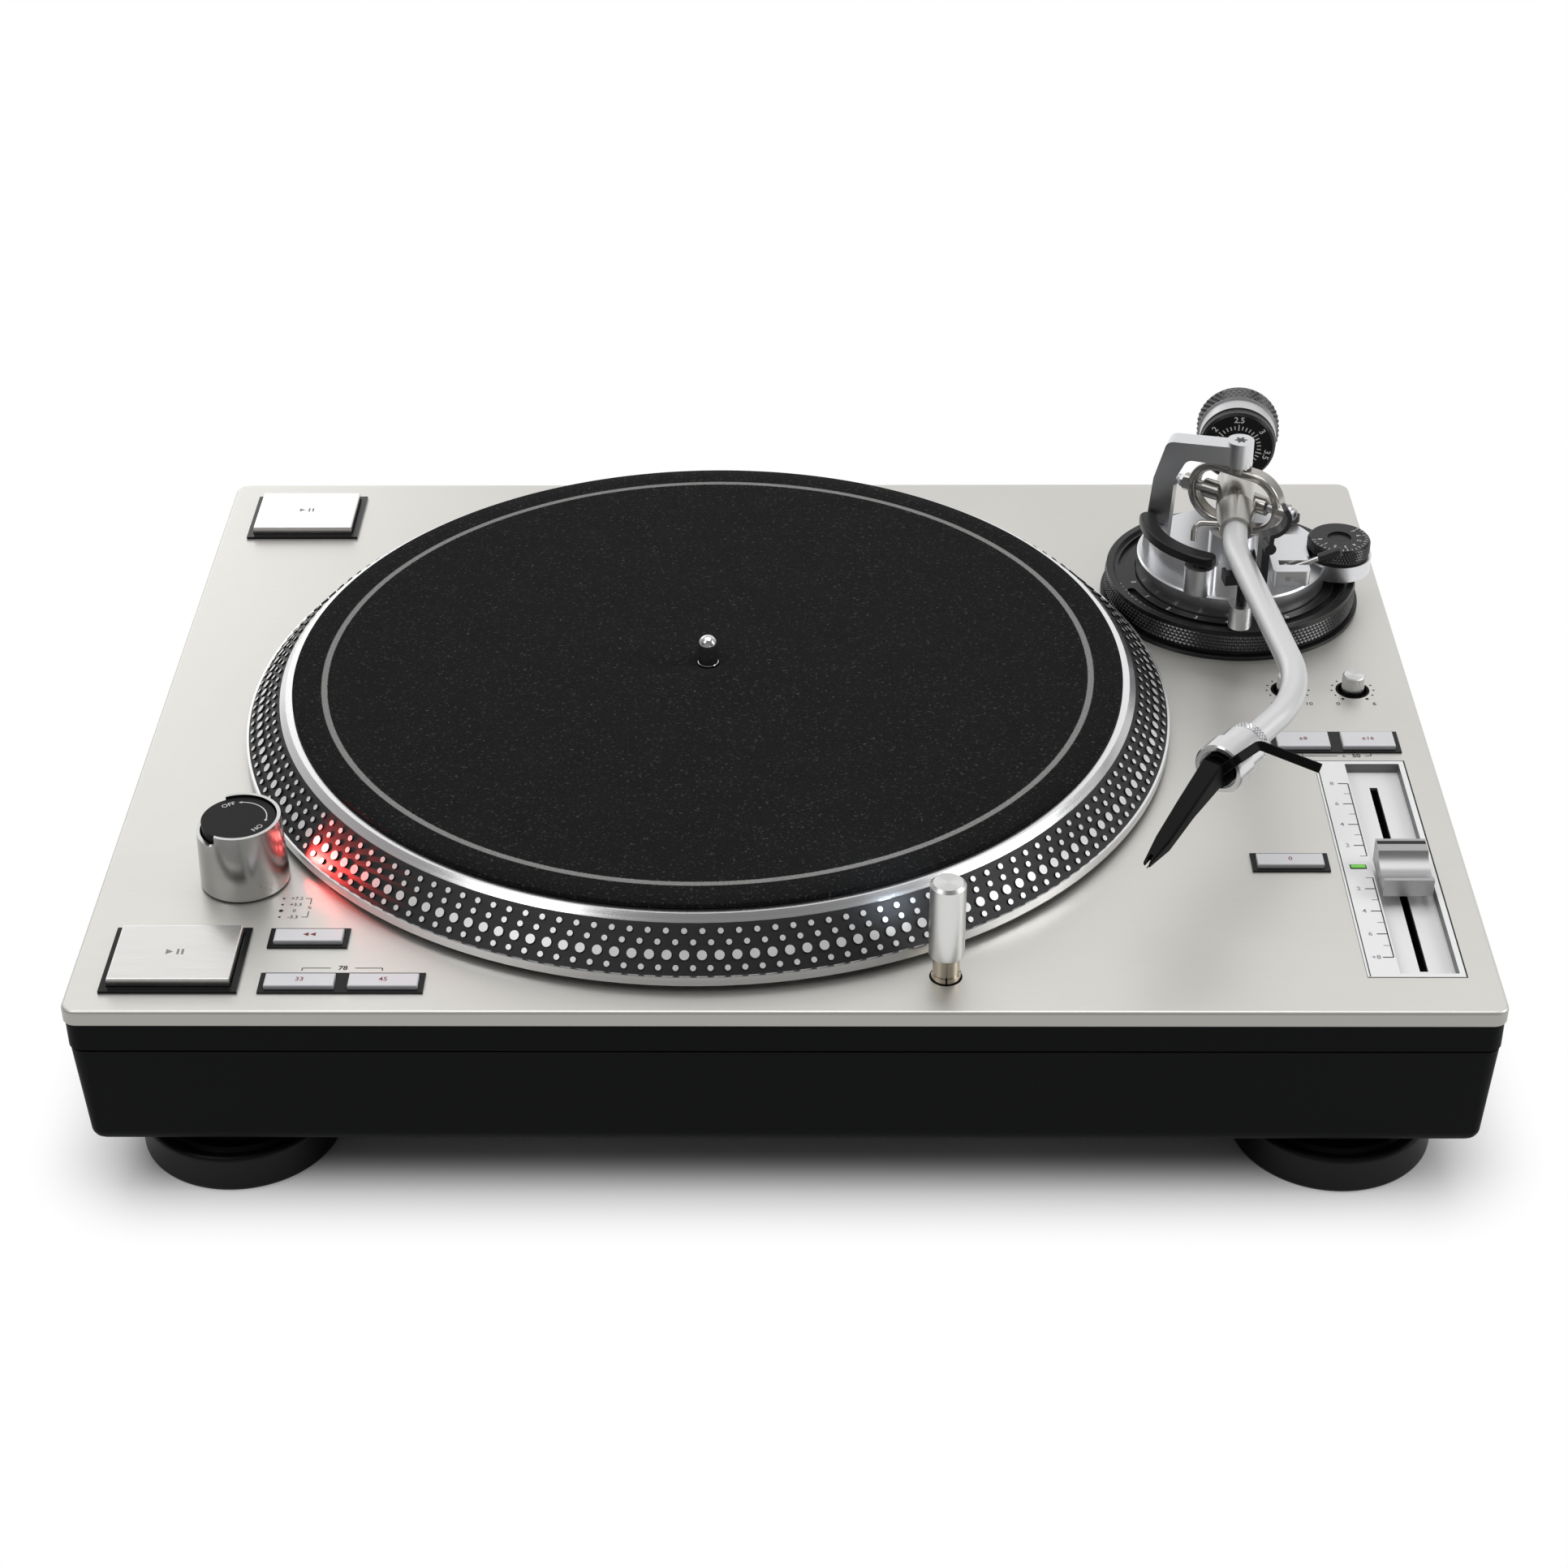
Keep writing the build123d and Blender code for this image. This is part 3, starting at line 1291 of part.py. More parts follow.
# Yoke rising beside the arm and over it to the post with the upper pivot pin
with BuildPart() as arm_yoke:
    with BuildSketch(upright_plane((arm_x, arm_y, deck_top), yoke_out)):
        with BuildLine():
            FilletPolyline((yoke_foot_near, base_top), (yoke_leg_near, yoke_leg_height),
                           (yoke_knee_near, yoke_under), (0, yoke_under), (0, yoke_over_post),
                           (yoke_knee_far, yoke_over), (yoke_leg_far, yoke_leg_height),
                           (yoke_foot_far, base_top), radius=yoke_round)
            Line((yoke_foot_far, base_top), (yoke_foot_near, base_top))
        make_face()
    extrude(amount=yoke_thickness / 2, both=True)
    with BuildSketch(deck_plane(post_bottom)):
        with Locations((arm_x, arm_y)):
            Circle(post_radius)
    extrude(amount=post_top - post_bottom)
    with BuildSketch(deck_plane(post_bottom)):
        with Locations((arm_x, arm_y)):
            Circle(axis_pin_radius)
    extrude(amount=arm_axis + gimbal_seat - axis_pin_reach - post_bottom)
arm_yoke.part.label = "arm_yoke"
export_step(arm_yoke.part, "parts/arm_yoke.step")

# Anti-skating dial on the lobe
with BuildPart() as anti_skate_dial:
    with BuildSketch(deck_plane(skate_bottom)):
        with Locations((skate_x, skate_y)):
            Circle(skate_radius)
    extrude(amount=skate_top - skate_bottom)
    chamfer(anti_skate_dial.faces().sort_by(Axis.Z)[-1].edges(), skate_chamfer)
    with BuildSketch(deck_plane(skate_top)):
        with Locations((skate_x, skate_y)):
            Circle(skate_dish_radius)
    extrude(amount=-skate_dish, mode=Mode.SUBTRACT)
    with BuildSketch(deck_plane(skate_bottom)):
        with Locations((skate_x, skate_y)):
            Circle(skate_pin_radius)
    extrude(amount=lobe_top - skate_pin_depth - skate_bottom)
anti_skate_dial.part.label = "anti_skate_dial"
export_step(anti_skate_dial.part, "parts/anti_skate_dial.step")

# Lever that works the cue lift
lever_direction = Vector(cos(radians(lever_tilt)), 0, sin(radians(lever_tilt)))
lever_centre = Vector(lever_x, lever_y, deck_top + lever_axis_height)
lever_plane = Plane(origin=lever_centre, x_dir=(0, 1, 0), z_dir=lever_direction)
with BuildPart() as cue_lever:
    with BuildSketch(standing_plane(lever_x, lever_y, deck_top + lever_axis_height)):
        Circle(lever_hub_radius)
    extrude(amount=lever_thickness / 2, both=True)
    with BuildSketch(standing_plane(lever_x, lever_y, deck_top + lever_axis_height)):
        Circle(lever_pin_radius)
    extrude(amount=lever_block_width / 2, both=True)
    with BuildSketch(lever_plane):
        Circle(lever_rod_radius)
    extrude(amount=lever_rod_length)
    with BuildSketch(lever_plane.offset(lever_rod_length)):
        Circle(lever_grip_radius)
    extrude(amount=lever_grip_length)
    grip_end = cue_lever.edges().filter_by(GeomType.CIRCLE).sort_by(Axis.Z)[-1]
    fillet(grip_end, lever_grip_round)
cue_lever.part.label = "cue_lever"
export_step(cue_lever.part, "parts/cue_lever.step")

# Curved lift platform on its stem
lift_line = CenterArc((0, 0), lift_radius, lift_start_angle, lift_sweep)
with BuildPart() as cue_platform:
    with BuildSketch(deck_plane(lift_bottom)):
        with Locations((arm_x, arm_y)):
            SlotArc(lift_line, lift_width)
    extrude(amount=lift_top - lift_bottom)
    fillet(cue_platform.faces().sort_by(Axis.Z)[-1].edges(), lift_round)
    with BuildSketch(deck_plane(lift_stem_bottom)):
        with Locations(lift_stem_place):
            Circle(lift_stem_radius)
    extrude(amount=lift_bottom - lift_stem_bottom)
cue_platform.part.label = "cue_platform"
export_step(cue_platform.part, "parts/cue_platform.step")

# Arm rest on its stud: a floor under the tube and a plate beside it
cradle_plane = upright_plane(rest_point, rest_right)
cradle_top = -tube_radius - cradle_under_tube
cradle_bottom = cradle_top - cradle_floor
with BuildPart() as arm_cradle:
    with BuildSketch(cradle_plane):
        with BuildLine():
            Polyline((-cradle_left, cradle_bottom), (cradle_right + cradle_plate, cradle_bottom),
                     (cradle_right + cradle_plate, cradle_plate_top), (cradle_right, cradle_plate_top),
                     (cradle_right, cradle_top), (cradle_left_lip - cradle_left, cradle_top),
                     (cradle_left_lip - cradle_left, cradle_top + cradle_lip_height),
                     (-cradle_left, cradle_top + cradle_lip_height), close=True)
        make_face()
    extrude(amount=cradle_depth / 2, both=True)
    with BuildSketch(deck_plane(rest_boss_top - rest_stud + running_gap)):
        with Locations((rest_post.X, rest_post.Y)):
            Circle(rest_post_radius)
    extrude(amount=arm_axis + cradle_bottom - rest_boss_top + rest_stud - running_gap)
    with BuildSketch(cradle_plane):
        with Locations((latch_eye_right, latch_eye_rise)):
            Circle(latch_pin_radius + pin_gap)
    extrude(amount=cradle_depth / 2, both=True, mode=Mode.SUBTRACT)
arm_cradle.part.label = "arm_cradle"
export_step(arm_cradle.part, "parts/arm_cradle.step")

# Latch that closes over the tube, shown swung open about its pin
latch_eye = rest_point + rest_right * latch_eye_right + up * latch_eye_rise
latch_eye += middle * (cradle_depth / 2 + running_gap)
latch_along = rest_right * cos(radians(latch_open)) - up * sin(radians(latch_open))
latch_plane = Plane(origin=latch_eye, x_dir=latch_along, z_dir=middle)
latch_ring = latch_inner + latch_thickness / 2
latch_band = CenterArc((0, 0), latch_ring, latch_tail_angle, latch_hook_angle - latch_tail_angle)
latch_bend = (latch_ring * cos(radians(latch_tail_angle)) - latch_eye_right,
              latch_ring * sin(radians(latch_tail_angle)) - latch_eye_rise)
with BuildPart() as arm_latch:
    with BuildSketch(latch_plane):
        Circle(latch_eye_radius)
        with Locations((-latch_eye_right, -latch_eye_rise)):
            SlotArc(latch_band, latch_thickness)
        SlotCenterPoint((latch_bend[0] / 2, latch_bend[1] / 2), latch_bend, latch_thickness)
    extrude(amount=latch_depth)
    with BuildSketch(latch_plane):
        Circle(latch_pin_radius)
    extrude(amount=-(cradle_depth + running_gap))
arm_latch.part.label = "arm_latch"
export_step(arm_latch.part, "parts/arm_latch.step")

# Small lever that locks the height
with BuildPart() as height_lock_lever:
    with BuildSketch(deck_plane(lock_bottom)):
        with Locations((lock_x, lock_y)):
            Circle(lock_radius)
        with Locations(Location((lock_x, lock_y), lock_angle)):
            SlotCenterPoint((lock_length / 2, 0), (lock_length, 0), lock_width)
    extrude(amount=lock_top - lock_bottom)
    with BuildSketch(deck_plane(lock_bottom)):
        with Locations((lock_x, lock_y)):
            Circle(lock_pin_radius)
    extrude(amount=base_top - lock_pin_depth - lock_bottom)
height_lock_lever.part.label = "height_lock_lever"
export_step(height_lock_lever.part, "parts/height_lock_lever.step")

# Gimbal ring: an upright oval that turns on the upright axis and carries the cross axis
gimbal_plane = upright_plane(pivot, pitch_axis)
cross_plane = Plane(origin=pivot, x_dir=(0, 0, 1), z_dir=pitch_axis)
with BuildPart() as gimbal_ring:
    with BuildSketch(gimbal_plane):
        SlotOverall(2 * gimbal_half_width, 2 * gimbal_half_height)
        SlotOverall(2 * (gimbal_half_width - gimbal_band), 2 * (gimbal_half_height - gimbal_band),
                    mode=Mode.SUBTRACT)
    extrude(amount=gimbal_thickness / 2, both=True)
    fillet(gimbal_ring.edges().filter_by(GeomType.LINE, reverse=True), gimbal_round)
    for side in (-1, 1):
        with BuildSketch(cross_plane.offset(side * (gimbal_half_width - gimbal_band / 2))):
            Circle(gimbal_boss_radius)
        extrude(amount=side * (gimbal_boss_reach - gimbal_half_width + gimbal_band / 2))
        with BuildSketch(deck_plane(arm_axis + side * gimbal_seat)):
            with Locations((arm_x, arm_y)):
                Circle(gimbal_seat_radius)
        extrude(amount=-side * (gimbal_seat - gimbal_half_height + gimbal_band / 2))
        with BuildSketch(cross_plane):
            Circle(pivot_screw_radius + pin_gap)
        extrude(amount=side * gimbal_boss_reach, mode=Mode.SUBTRACT)
        with BuildSketch(deck_plane(arm_axis + side * gimbal_seat)):
            with Locations((arm_x, arm_y)):
                Circle(axis_pin_radius + pin_gap)
        extrude(amount=-side * (axis_pin_reach + running_gap), mode=Mode.SUBTRACT)
gimbal_ring.part.label = "gimbal_ring"
export_step(gimbal_ring.part, "parts/gimbal_ring.step")

# Two pivot screws with lock nuts, their points in the ends of the cross axle
with BuildPart() as gimbal_pivots:
    for side in (-1, 1):
        with BuildSketch(cross_plane.offset(side * (cross_reach + pivot_screw_gap))):
            Circle(pivot_screw_radius)
        extrude(amount=side * (pivot_screw_reach - cross_reach - pivot_screw_gap))
        with BuildSketch(cross_plane.offset(side * gimbal_boss_reach)):
            RegularPolygon(pivot_nut_radius, 6)
        extrude(amount=side * pivot_nut)
        with BuildSketch(cross_plane.offset(side * (cross_reach + pivot_screw_gap))):
            Circle(pivot_radius)
        extrude(amount=-side * (pivot_screw_gap + pivot_reach_in))
gimbal_pivots.part.label = "gimbal_pivots"
export_step(gimbal_pivots.part, "parts/gimbal_pivots.step")

# Arm hub: cross axle in the gimbal, socket of the tube, shaft of the counterweight and the side rod
arm_axis_line = Axis(pivot, forward)
side_way = Vector(forward.Y, -forward.X, 0)
rod_root = pivot + forward * side_rod_start + side_way * side_rod_root - up * side_rod_below
rod_corner = rod_root + side_way * (side_rod_reach - side_rod_root)
rod_end = rod_corner - up * side_rod_drop + forward * side_rod_lean
with BuildPart() as arm_hub:
    with BuildSketch(upright_plane(pivot, forward)):
        with BuildLine():
            Polyline((-rear_shaft_length, 0), (-rear_shaft_length, rear_shaft_radius),
                     (-hub_back, rear_shaft_radius), (-hub_back, hub_back_radius), (-hub_full, hub_radius),
                     (hub_full, hub_radius), (hub_front, hub_lip_radius),
                     (hub_front, tube_radius + pin_gap), (hub_full, tube_radius + pin_gap), (hub_full, 0),
                     close=True)
        make_face()
    revolve(axis=arm_axis_line)
    with BuildSketch(cross_plane):
        Circle(cross_radius)
    extrude(amount=cross_reach, both=True)
    for side in (-1, 1):
        with BuildSketch(cross_plane.offset(side * cross_reach)):
            Circle(pivot_radius + pin_gap)
        extrude(amount=-side * (pivot_reach_in + running_gap), mode=Mode.SUBTRACT)
    with BuildLine() as rod_path:
        FilletPolyline(rod_root, rod_corner, rod_end, radius=side_rod_bend)
    with BuildSketch(Plane(origin=rod_root, z_dir=side_way)):
        Circle(side_rod_radius)
    sweep(path=rod_path.line)
arm_hub.part.label = "arm_hub"
export_step(arm_hub.part, "parts/arm_hub.step")

# S-shaped arm tube from the hub to the headshell collar
tube_start = pivot + forward * (hub_full + seat_gap)
tube_end = socket_point - headshell * (collar_mouth_depth + running_gap)
with BuildPart() as arm_tube:
    with BuildLine() as tube_path:
        FilletPolyline(tube_start, first_corner, second_corner, tube_end, radius=tube_bend)
    with BuildSketch(Plane(origin=tube_start, z_dir=forward)):
        Circle(tube_radius)
        Circle(tube_bore, mode=Mode.SUBTRACT)
    sweep(path=tube_path.line)
arm_tube.part.label = "arm_tube"
export_step(arm_tube.part, "parts/arm_tube.step")

# Knurled collar that locks the cartridge on the tube
collar_grip = collar_length - collar_grip_length
collar_neck = collar_grip - collar_neck_length
with BuildPart() as headshell_collar:
    with BuildSketch(upright_plane(socket_point, -headshell)):
        with BuildLine():
            Polyline((0, collar_mouth_radius), (0, collar_front_radius - collar_chamfer),
                     (collar_chamfer, collar_front_radius), (collar_front_length, collar_front_radius),
                     (collar_front_length, collar_middle_radius), (collar_neck, collar_middle_radius),
                     (collar_neck, collar_neck_radius), (collar_grip, collar_neck_radius),
                     (collar_grip, collar_grip_radius), (collar_length, collar_grip_radius),
                     (collar_length, tube_radius + pin_gap), (collar_mouth_depth, tube_radius + pin_gap),
                     (collar_mouth_depth, collar_mouth_radius), close=True)
        make_face()
    revolve(axis=Axis(socket_point, headshell))
headshell_collar.part.label = "headshell_collar"
export_step(headshell_collar.part, "parts/headshell_collar.step")


def shell_plane(ahead, drop):
    """Plane across the headshell, ahead of the collar and below the tube axis."""
    return Plane(origin=socket_point + headshell * ahead - up * drop, x_dir=pitch_axis, z_dir=headshell)


def shell_point(ahead, side, rise):
    """Place beside the headshell axis, measured from the front of the collar."""
    return socket_point + headshell * ahead + pitch_axis * side + up * rise


# One-piece cartridge: plug in the tube, tapered body dropping to a forked tip, and the finger lift
neck_back = collar_mouth_depth - running_gap
finger_root = shell_point(finger_forward, finger_root_side, finger_root_rise)
finger_top = shell_point(finger_forward, finger_top_side, finger_top_rise)
finger_elbow = shell_point(-finger_elbow_back, finger_elbow_side, finger_elbow_rise)
finger_tip = shell_point(-finger_tip_back, finger_tip_side, finger_tip_rise)
with BuildPart() as cartridge:
    with BuildSketch(shell_plane(cartridge_root, 0)):
        RectangleRounded(cartridge_root_width, cartridge_root_height, cartridge_corner)
    with BuildSketch(shell_plane(cartridge_back, -cartridge_back_rise)):
        RectangleRounded(cartridge_back_width, cartridge_back_height, cartridge_corner)
    with BuildSketch(shell_plane(cartridge_belly, cartridge_belly_drop)):
        RectangleRounded(cartridge_belly_width, cartridge_belly_height, cartridge_corner)
    with BuildSketch(shell_plane(cartridge_front, cartridge_front_drop)):
        RectangleRounded(cartridge_front_width, cartridge_front_height, cartridge_corner)
    with BuildSketch(shell_plane(cartridge_tip, cartridge_tip_drop)):
        RectangleRounded(cartridge_tip_width, cartridge_tip_height, tip_corner)
    loft(ruled=True)
    with BuildSketch(shell_plane(cartridge_tip, cartridge_tip_drop)):
        Rectangle(tip_notch_width, 2 * cartridge_front_height)
    extrude(amount=-tip_notch_length, mode=Mode.SUBTRACT)
    with BuildSketch(shell_plane(-neck_back, 0)):
        Circle(cartridge_neck_radius)
    extrude(amount=neck_back + cartridge_root)
    with BuildSketch(shell_plane(-neck_back, 0)):
        Circle(plug_radius)
    extrude(amount=-plug_length)
    with BuildLine() as finger_path:
        FilletPolyline(finger_root, finger_top, finger_elbow, finger_tip, radius=finger_bend)
    with BuildSketch(Plane(origin=finger_root, x_dir=headshell, z_dir=finger_top - finger_root)):
        RectangleRounded(finger_thickness, finger_width, finger_thickness / 3)
    sweep(path=finger_path.line)
cartridge.part.label = "cartridge"
export_step(cartridge.part, "parts/cartridge.step")

# Stylus under the forked tip
stylus_root_point = stylus_over - headshell * stylus_root - up * stylus_root_drop
stylus_point = stylus_over - up * stylus_drop
stylus_along = stylus_point - stylus_root_point
with BuildPart() as stylus:
    with BuildSketch(Plane(origin=stylus_root_point, z_dir=stylus_along)):
        Circle(stylus_root_radius)
    with BuildSketch(Plane(origin=stylus_point, z_dir=stylus_along)):
        Circle(stylus_tip_radius)
    loft()
stylus.part.label = "stylus"
export_step(stylus.part, "parts/stylus.step")

# Counterweight on the rear shaft, with a hub for the force dial
with BuildPart() as counterweight:
    with BuildSketch(upright_plane(pivot, forward)):
        with BuildLine():
            Polyline((-dial_near, rear_shaft_radius + pin_gap), (-dial_near, dial_hub_radius),
                     (-weight_near, dial_hub_radius), (-weight_near, weight_band_radius),
                     (-weight_band_far, weight_band_radius), (-weight_band_far, weight_grip_radius),
                     (-weight_far, weight_grip_radius), (-weight_far, rear_shaft_radius + pin_gap),
                     close=True)
        make_face()
    revolve(axis=arm_axis_line)
counterweight.part.label = "counterweight"
export_step(counterweight.part, "parts/counterweight.step")

# Stylus-force dial on the hub of the counterweight
with BuildPart() as force_dial:
    with BuildSketch(upright_plane(pivot, forward)):
        with BuildLine():
            Polyline((-dial_near, dial_hub_radius + pin_gap), (-dial_near, dial_radius - dial_chamfer),
                     (-dial_near - dial_chamfer, dial_radius), (-dial_far, dial_radius),
                     (-dial_far, dial_hub_radius + pin_gap), close=True)
        make_face()
    revolve(axis=arm_axis_line)
force_dial.part.label = "force_dial"
export_step(force_dial.part, "parts/force_dial.step")

# Main circuit board on the posts of the tub
board_bottom = tub_inside + board_lift
board_top = board_bottom + board_thickness
with BuildPart() as main_board:
    with BuildSketch(Plane.XY.offset(board_bottom)):
        with Locations((board_x, board_y)):
            Rectangle(board_length, board_width)
    extrude(amount=board_thickness)
    with BuildSketch(Plane.XY.offset(board_top)):
        with Locations((board_x, board_y)):
            with GridLocations(3 * chip_size, 2 * chip_size, 2, 2):
                Rectangle(chip_size, chip_size)
    extrude(amount=chip_height)
    with BuildSketch(Plane.XY.offset(board_top)):
        with Locations((board_x + board_length / 3, board_y)):
            with GridLocations(3 * capacitor_radius, 3 * capacitor_radius, 2, 2):
                Circle(capacitor_radius)
    extrude(amount=capacitor_height)
main_board.part.label = "main_board"
export_step(main_board.part, "parts/main_board.step")

# Power supply in a vented metal case
with BuildPart() as power_supply:
    with BuildSketch(Plane.XY.offset(tub_inside)):
        with Locations((supply_x, supply_y)):
            Rectangle(supply_length, supply_width)
    extrude(amount=supply_height)
    with BuildSketch(Plane.XY.offset(tub_inside + supply_wall)):
        with Locations((supply_x, supply_y)):
            Rectangle(supply_length - 2 * supply_wall, supply_width - 2 * supply_wall)
    extrude(amount=supply_height - 2 * supply_wall, mode=Mode.SUBTRACT)
    with BuildSketch(Plane.XY.offset(tub_inside + supply_height)):
        with Locations((supply_x, supply_y)):
            with GridLocations(vent_pitch, 1, vent_count, 1):
                Rectangle(vent_width, vent_length)
    extrude(amount=-supply_wall, mode=Mode.SUBTRACT)
power_supply.part.label = "power_supply"
export_step(power_supply.part, "parts/power_supply.step")

# Rear panel: a tray set into the window of the tub
bay_back = half_depth - bay_from_back
bay_floor = bay_back - bay_depth + bay_wall
bay_middle = bay_bottom + bay_height / 2
with BuildPart() as rear_panel:
    with BuildSketch(standing_plane(bay_x, bay_back, bay_middle)):
        Rectangle(bay_width, bay_height)
    extrude(amount=bay_depth)
    with BuildSketch(standing_plane(bay_x, bay_back, bay_middle)):
        Rectangle(bay_width - 2 * bay_wall, bay_height - 2 * bay_wall)
    extrude(amount=bay_depth - bay_wall, mode=Mode.SUBTRACT)
    with BuildSketch(standing_plane(inlet_x, bay_floor, bay_middle)):
        Rectangle(inlet_length + 2 * seat_gap, inlet_height + 2 * seat_gap)
    extrude(amount=bay_wall, mode=Mode.SUBTRACT)
rear_panel.part.label = "rear_panel"
export_step(rear_panel.part, "parts/rear_panel.step")

# Two signal sockets and the earth post
with BuildPart() as signal_terminals:
    for x in (left_socket_x, right_socket_x):
        with BuildSketch(standing_plane(x, bay_floor, bay_middle)):
            Circle(socket_flange_radius)
        extrude(amount=-socket_flange)
        with BuildSketch(standing_plane(x, bay_floor, bay_middle)):
            Circle(socket_radius)
        extrude(amount=-socket_length)
        with BuildSketch(standing_plane(x, bay_floor + socket_length, bay_middle)):
            Circle(socket_bore)
        extrude(amount=socket_length - socket_flange, mode=Mode.SUBTRACT)
    with BuildSketch(standing_plane(ground_x, bay_floor, bay_middle)):
        Circle(ground_radius)
    extrude(amount=-ground_length)
signal_terminals.part.label = "signal_terminals"
export_step(signal_terminals.part, "parts/signal_terminals.step")

# Mains inlet with its three pins
with BuildPart() as mains_inlet:
    with BuildSketch(standing_plane(inlet_x, bay_floor, bay_middle)):
        Rectangle(inlet_length, inlet_height)
    extrude(amount=inlet_depth)
    with BuildSketch(standing_plane(inlet_x, bay_floor, bay_middle)):
        Rectangle(inlet_length - 2 * inlet_wall, inlet_height - 2 * inlet_wall)
    extrude(amount=inlet_depth - inlet_wall, mode=Mode.SUBTRACT)
    with BuildSketch(standing_plane(inlet_x, bay_floor - inlet_depth + inlet_wall, bay_middle)):
        with GridLocations(inlet_pin_pitch, 1, 3, 1):
            Circle(inlet_pin_radius)
    extrude(amount=-inlet_pin_length)
mains_inlet.part.label = "mains_inlet"
export_step(mains_inlet.part, "parts/mains_inlet.step")
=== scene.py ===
# %% [markdown]
# # A record player, dressed in Blender
# The solids of the player come packed from CAD, in metres, each piece on the body that it moves with.
# This lesson gives them their finishes and adds what is too fine for solids: the dots on the platter's
# rim, knurling, printed scales and the light. No solid is moved or changed, so everything made here
# goes straight to its place in the same frame.

# %% Load the frame
import json
import math

import bmesh
import bpy
from mathutils import Matrix, Vector


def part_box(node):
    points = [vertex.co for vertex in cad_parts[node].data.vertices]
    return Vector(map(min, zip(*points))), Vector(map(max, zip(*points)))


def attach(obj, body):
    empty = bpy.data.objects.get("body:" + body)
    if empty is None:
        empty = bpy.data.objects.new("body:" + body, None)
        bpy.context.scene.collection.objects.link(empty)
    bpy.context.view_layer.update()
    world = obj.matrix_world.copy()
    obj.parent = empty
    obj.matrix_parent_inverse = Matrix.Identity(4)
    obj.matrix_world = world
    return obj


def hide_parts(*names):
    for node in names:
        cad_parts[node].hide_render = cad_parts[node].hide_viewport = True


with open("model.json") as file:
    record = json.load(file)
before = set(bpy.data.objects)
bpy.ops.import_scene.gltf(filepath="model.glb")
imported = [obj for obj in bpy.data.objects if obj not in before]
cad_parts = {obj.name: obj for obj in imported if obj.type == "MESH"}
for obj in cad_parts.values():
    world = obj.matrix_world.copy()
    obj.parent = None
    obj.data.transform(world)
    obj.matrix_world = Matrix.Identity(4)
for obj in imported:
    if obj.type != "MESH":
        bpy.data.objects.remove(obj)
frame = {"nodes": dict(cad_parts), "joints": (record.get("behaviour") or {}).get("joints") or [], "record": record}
nodes = frame["nodes"]
joints = {joint["name"]: joint for joint in frame["joints"]}
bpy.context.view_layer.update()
mm = 0.001

# %% [markdown]
# ## Camera
# The photograph looks down at the deck from the front, a little more than a metre away. Its lens and
# place were worked out from the corners of the deck and the circles of the platter. The camera could
# be aimed with a constraint, but writing its three axes keeps the slight turn and roll of the shot.

# %% Camera at the photograph's angle
image_size = 1932
focal_pixels = 3684.5
sensor_width = 36.0
camera_place = Vector((12.0, -920.87, 660.03)) * mm
down, turn, roll = (math.radians(angle) for angle in (33.615, -0.844, -0.479))
ahead = Vector((math.sin(turn) * math.cos(down), math.cos(turn) * math.cos(down), -math.sin(down)))
level = Vector((math.cos(turn), -math.sin(turn), 0))
upward = level.cross(ahead)
image_right = level * math.cos(roll) + upward * math.sin(roll)
image_up = upward * math.cos(roll) - level * math.sin(roll)
camera = bpy.data.objects.new("photo_camera", bpy.data.cameras.new("photo_camera"))
camera.data.sensor_width = sensor_width
camera.data.lens = sensor_width * focal_pixels / image_size
camera.matrix_world = Matrix((image_right, image_up, -ahead)).transposed().to_4x4()
camera.location = camera_place
bpy.context.scene.collection.objects.link(camera)
bpy.context.scene.camera = camera
bpy.context.scene.view_settings.view_transform = "Standard"
print("lens in mm:", round(camera.data.lens, 2))

# %% [markdown]
# ## Node helpers
# Every finish below is a small network of nodes. Three steps come back all the time: a sum of two values,
# a value moved from one range to another, and a vector taken apart. Naming them once keeps the finishes
# readable.


# %% Sums and ranges
def add_math(tree, operation, first, second=0.0):
    """Math node of two values, each a socket or a number. Returns its result."""
    step = tree.nodes.new("ShaderNodeMath")
    step.operation = operation
    for socket, value in zip(step.inputs, (first, second)):
        if isinstance(value, (int, float)):
            socket.default_value = value
        else:
            tree.links.new(value, socket)
    return step.outputs[0]


def spread(tree, value, low, high, to_low=0.0, to_high=1.0, way="LINEAR"):
    """Map range from low..high to to_low..to_high, clamped. Returns its result."""
    step = tree.nodes.new("ShaderNodeMapRange")
    step.interpolation_type = way
    for label, number in (("From Min", low), ("From Max", high), ("To Min", to_low), ("To Max", to_high)):
        step.inputs[label].default_value = number
    tree.links.new(value, step.inputs["Value"])
    return step.outputs["Result"]


def split(tree, vector):
    """Takes a vector apart. Returns its values by the names X, Y and Z."""
    step = tree.nodes.new("ShaderNodeSeparateXYZ")
    tree.links.new(vector, step.inputs[0])
    return step.outputs


print("node helpers ready")

# %% [markdown]
# ## Studio light
# The real shot was made on a white sweep, with the bright part of the studio behind the player and a
# dark room in front of it. That is why its metal is bright on top and dark on the sides that face us. A
# world whose light falls off towards the front and the ceiling does the same, in mirrors and in the soft
# fill alike. The camera itself sees plain white.

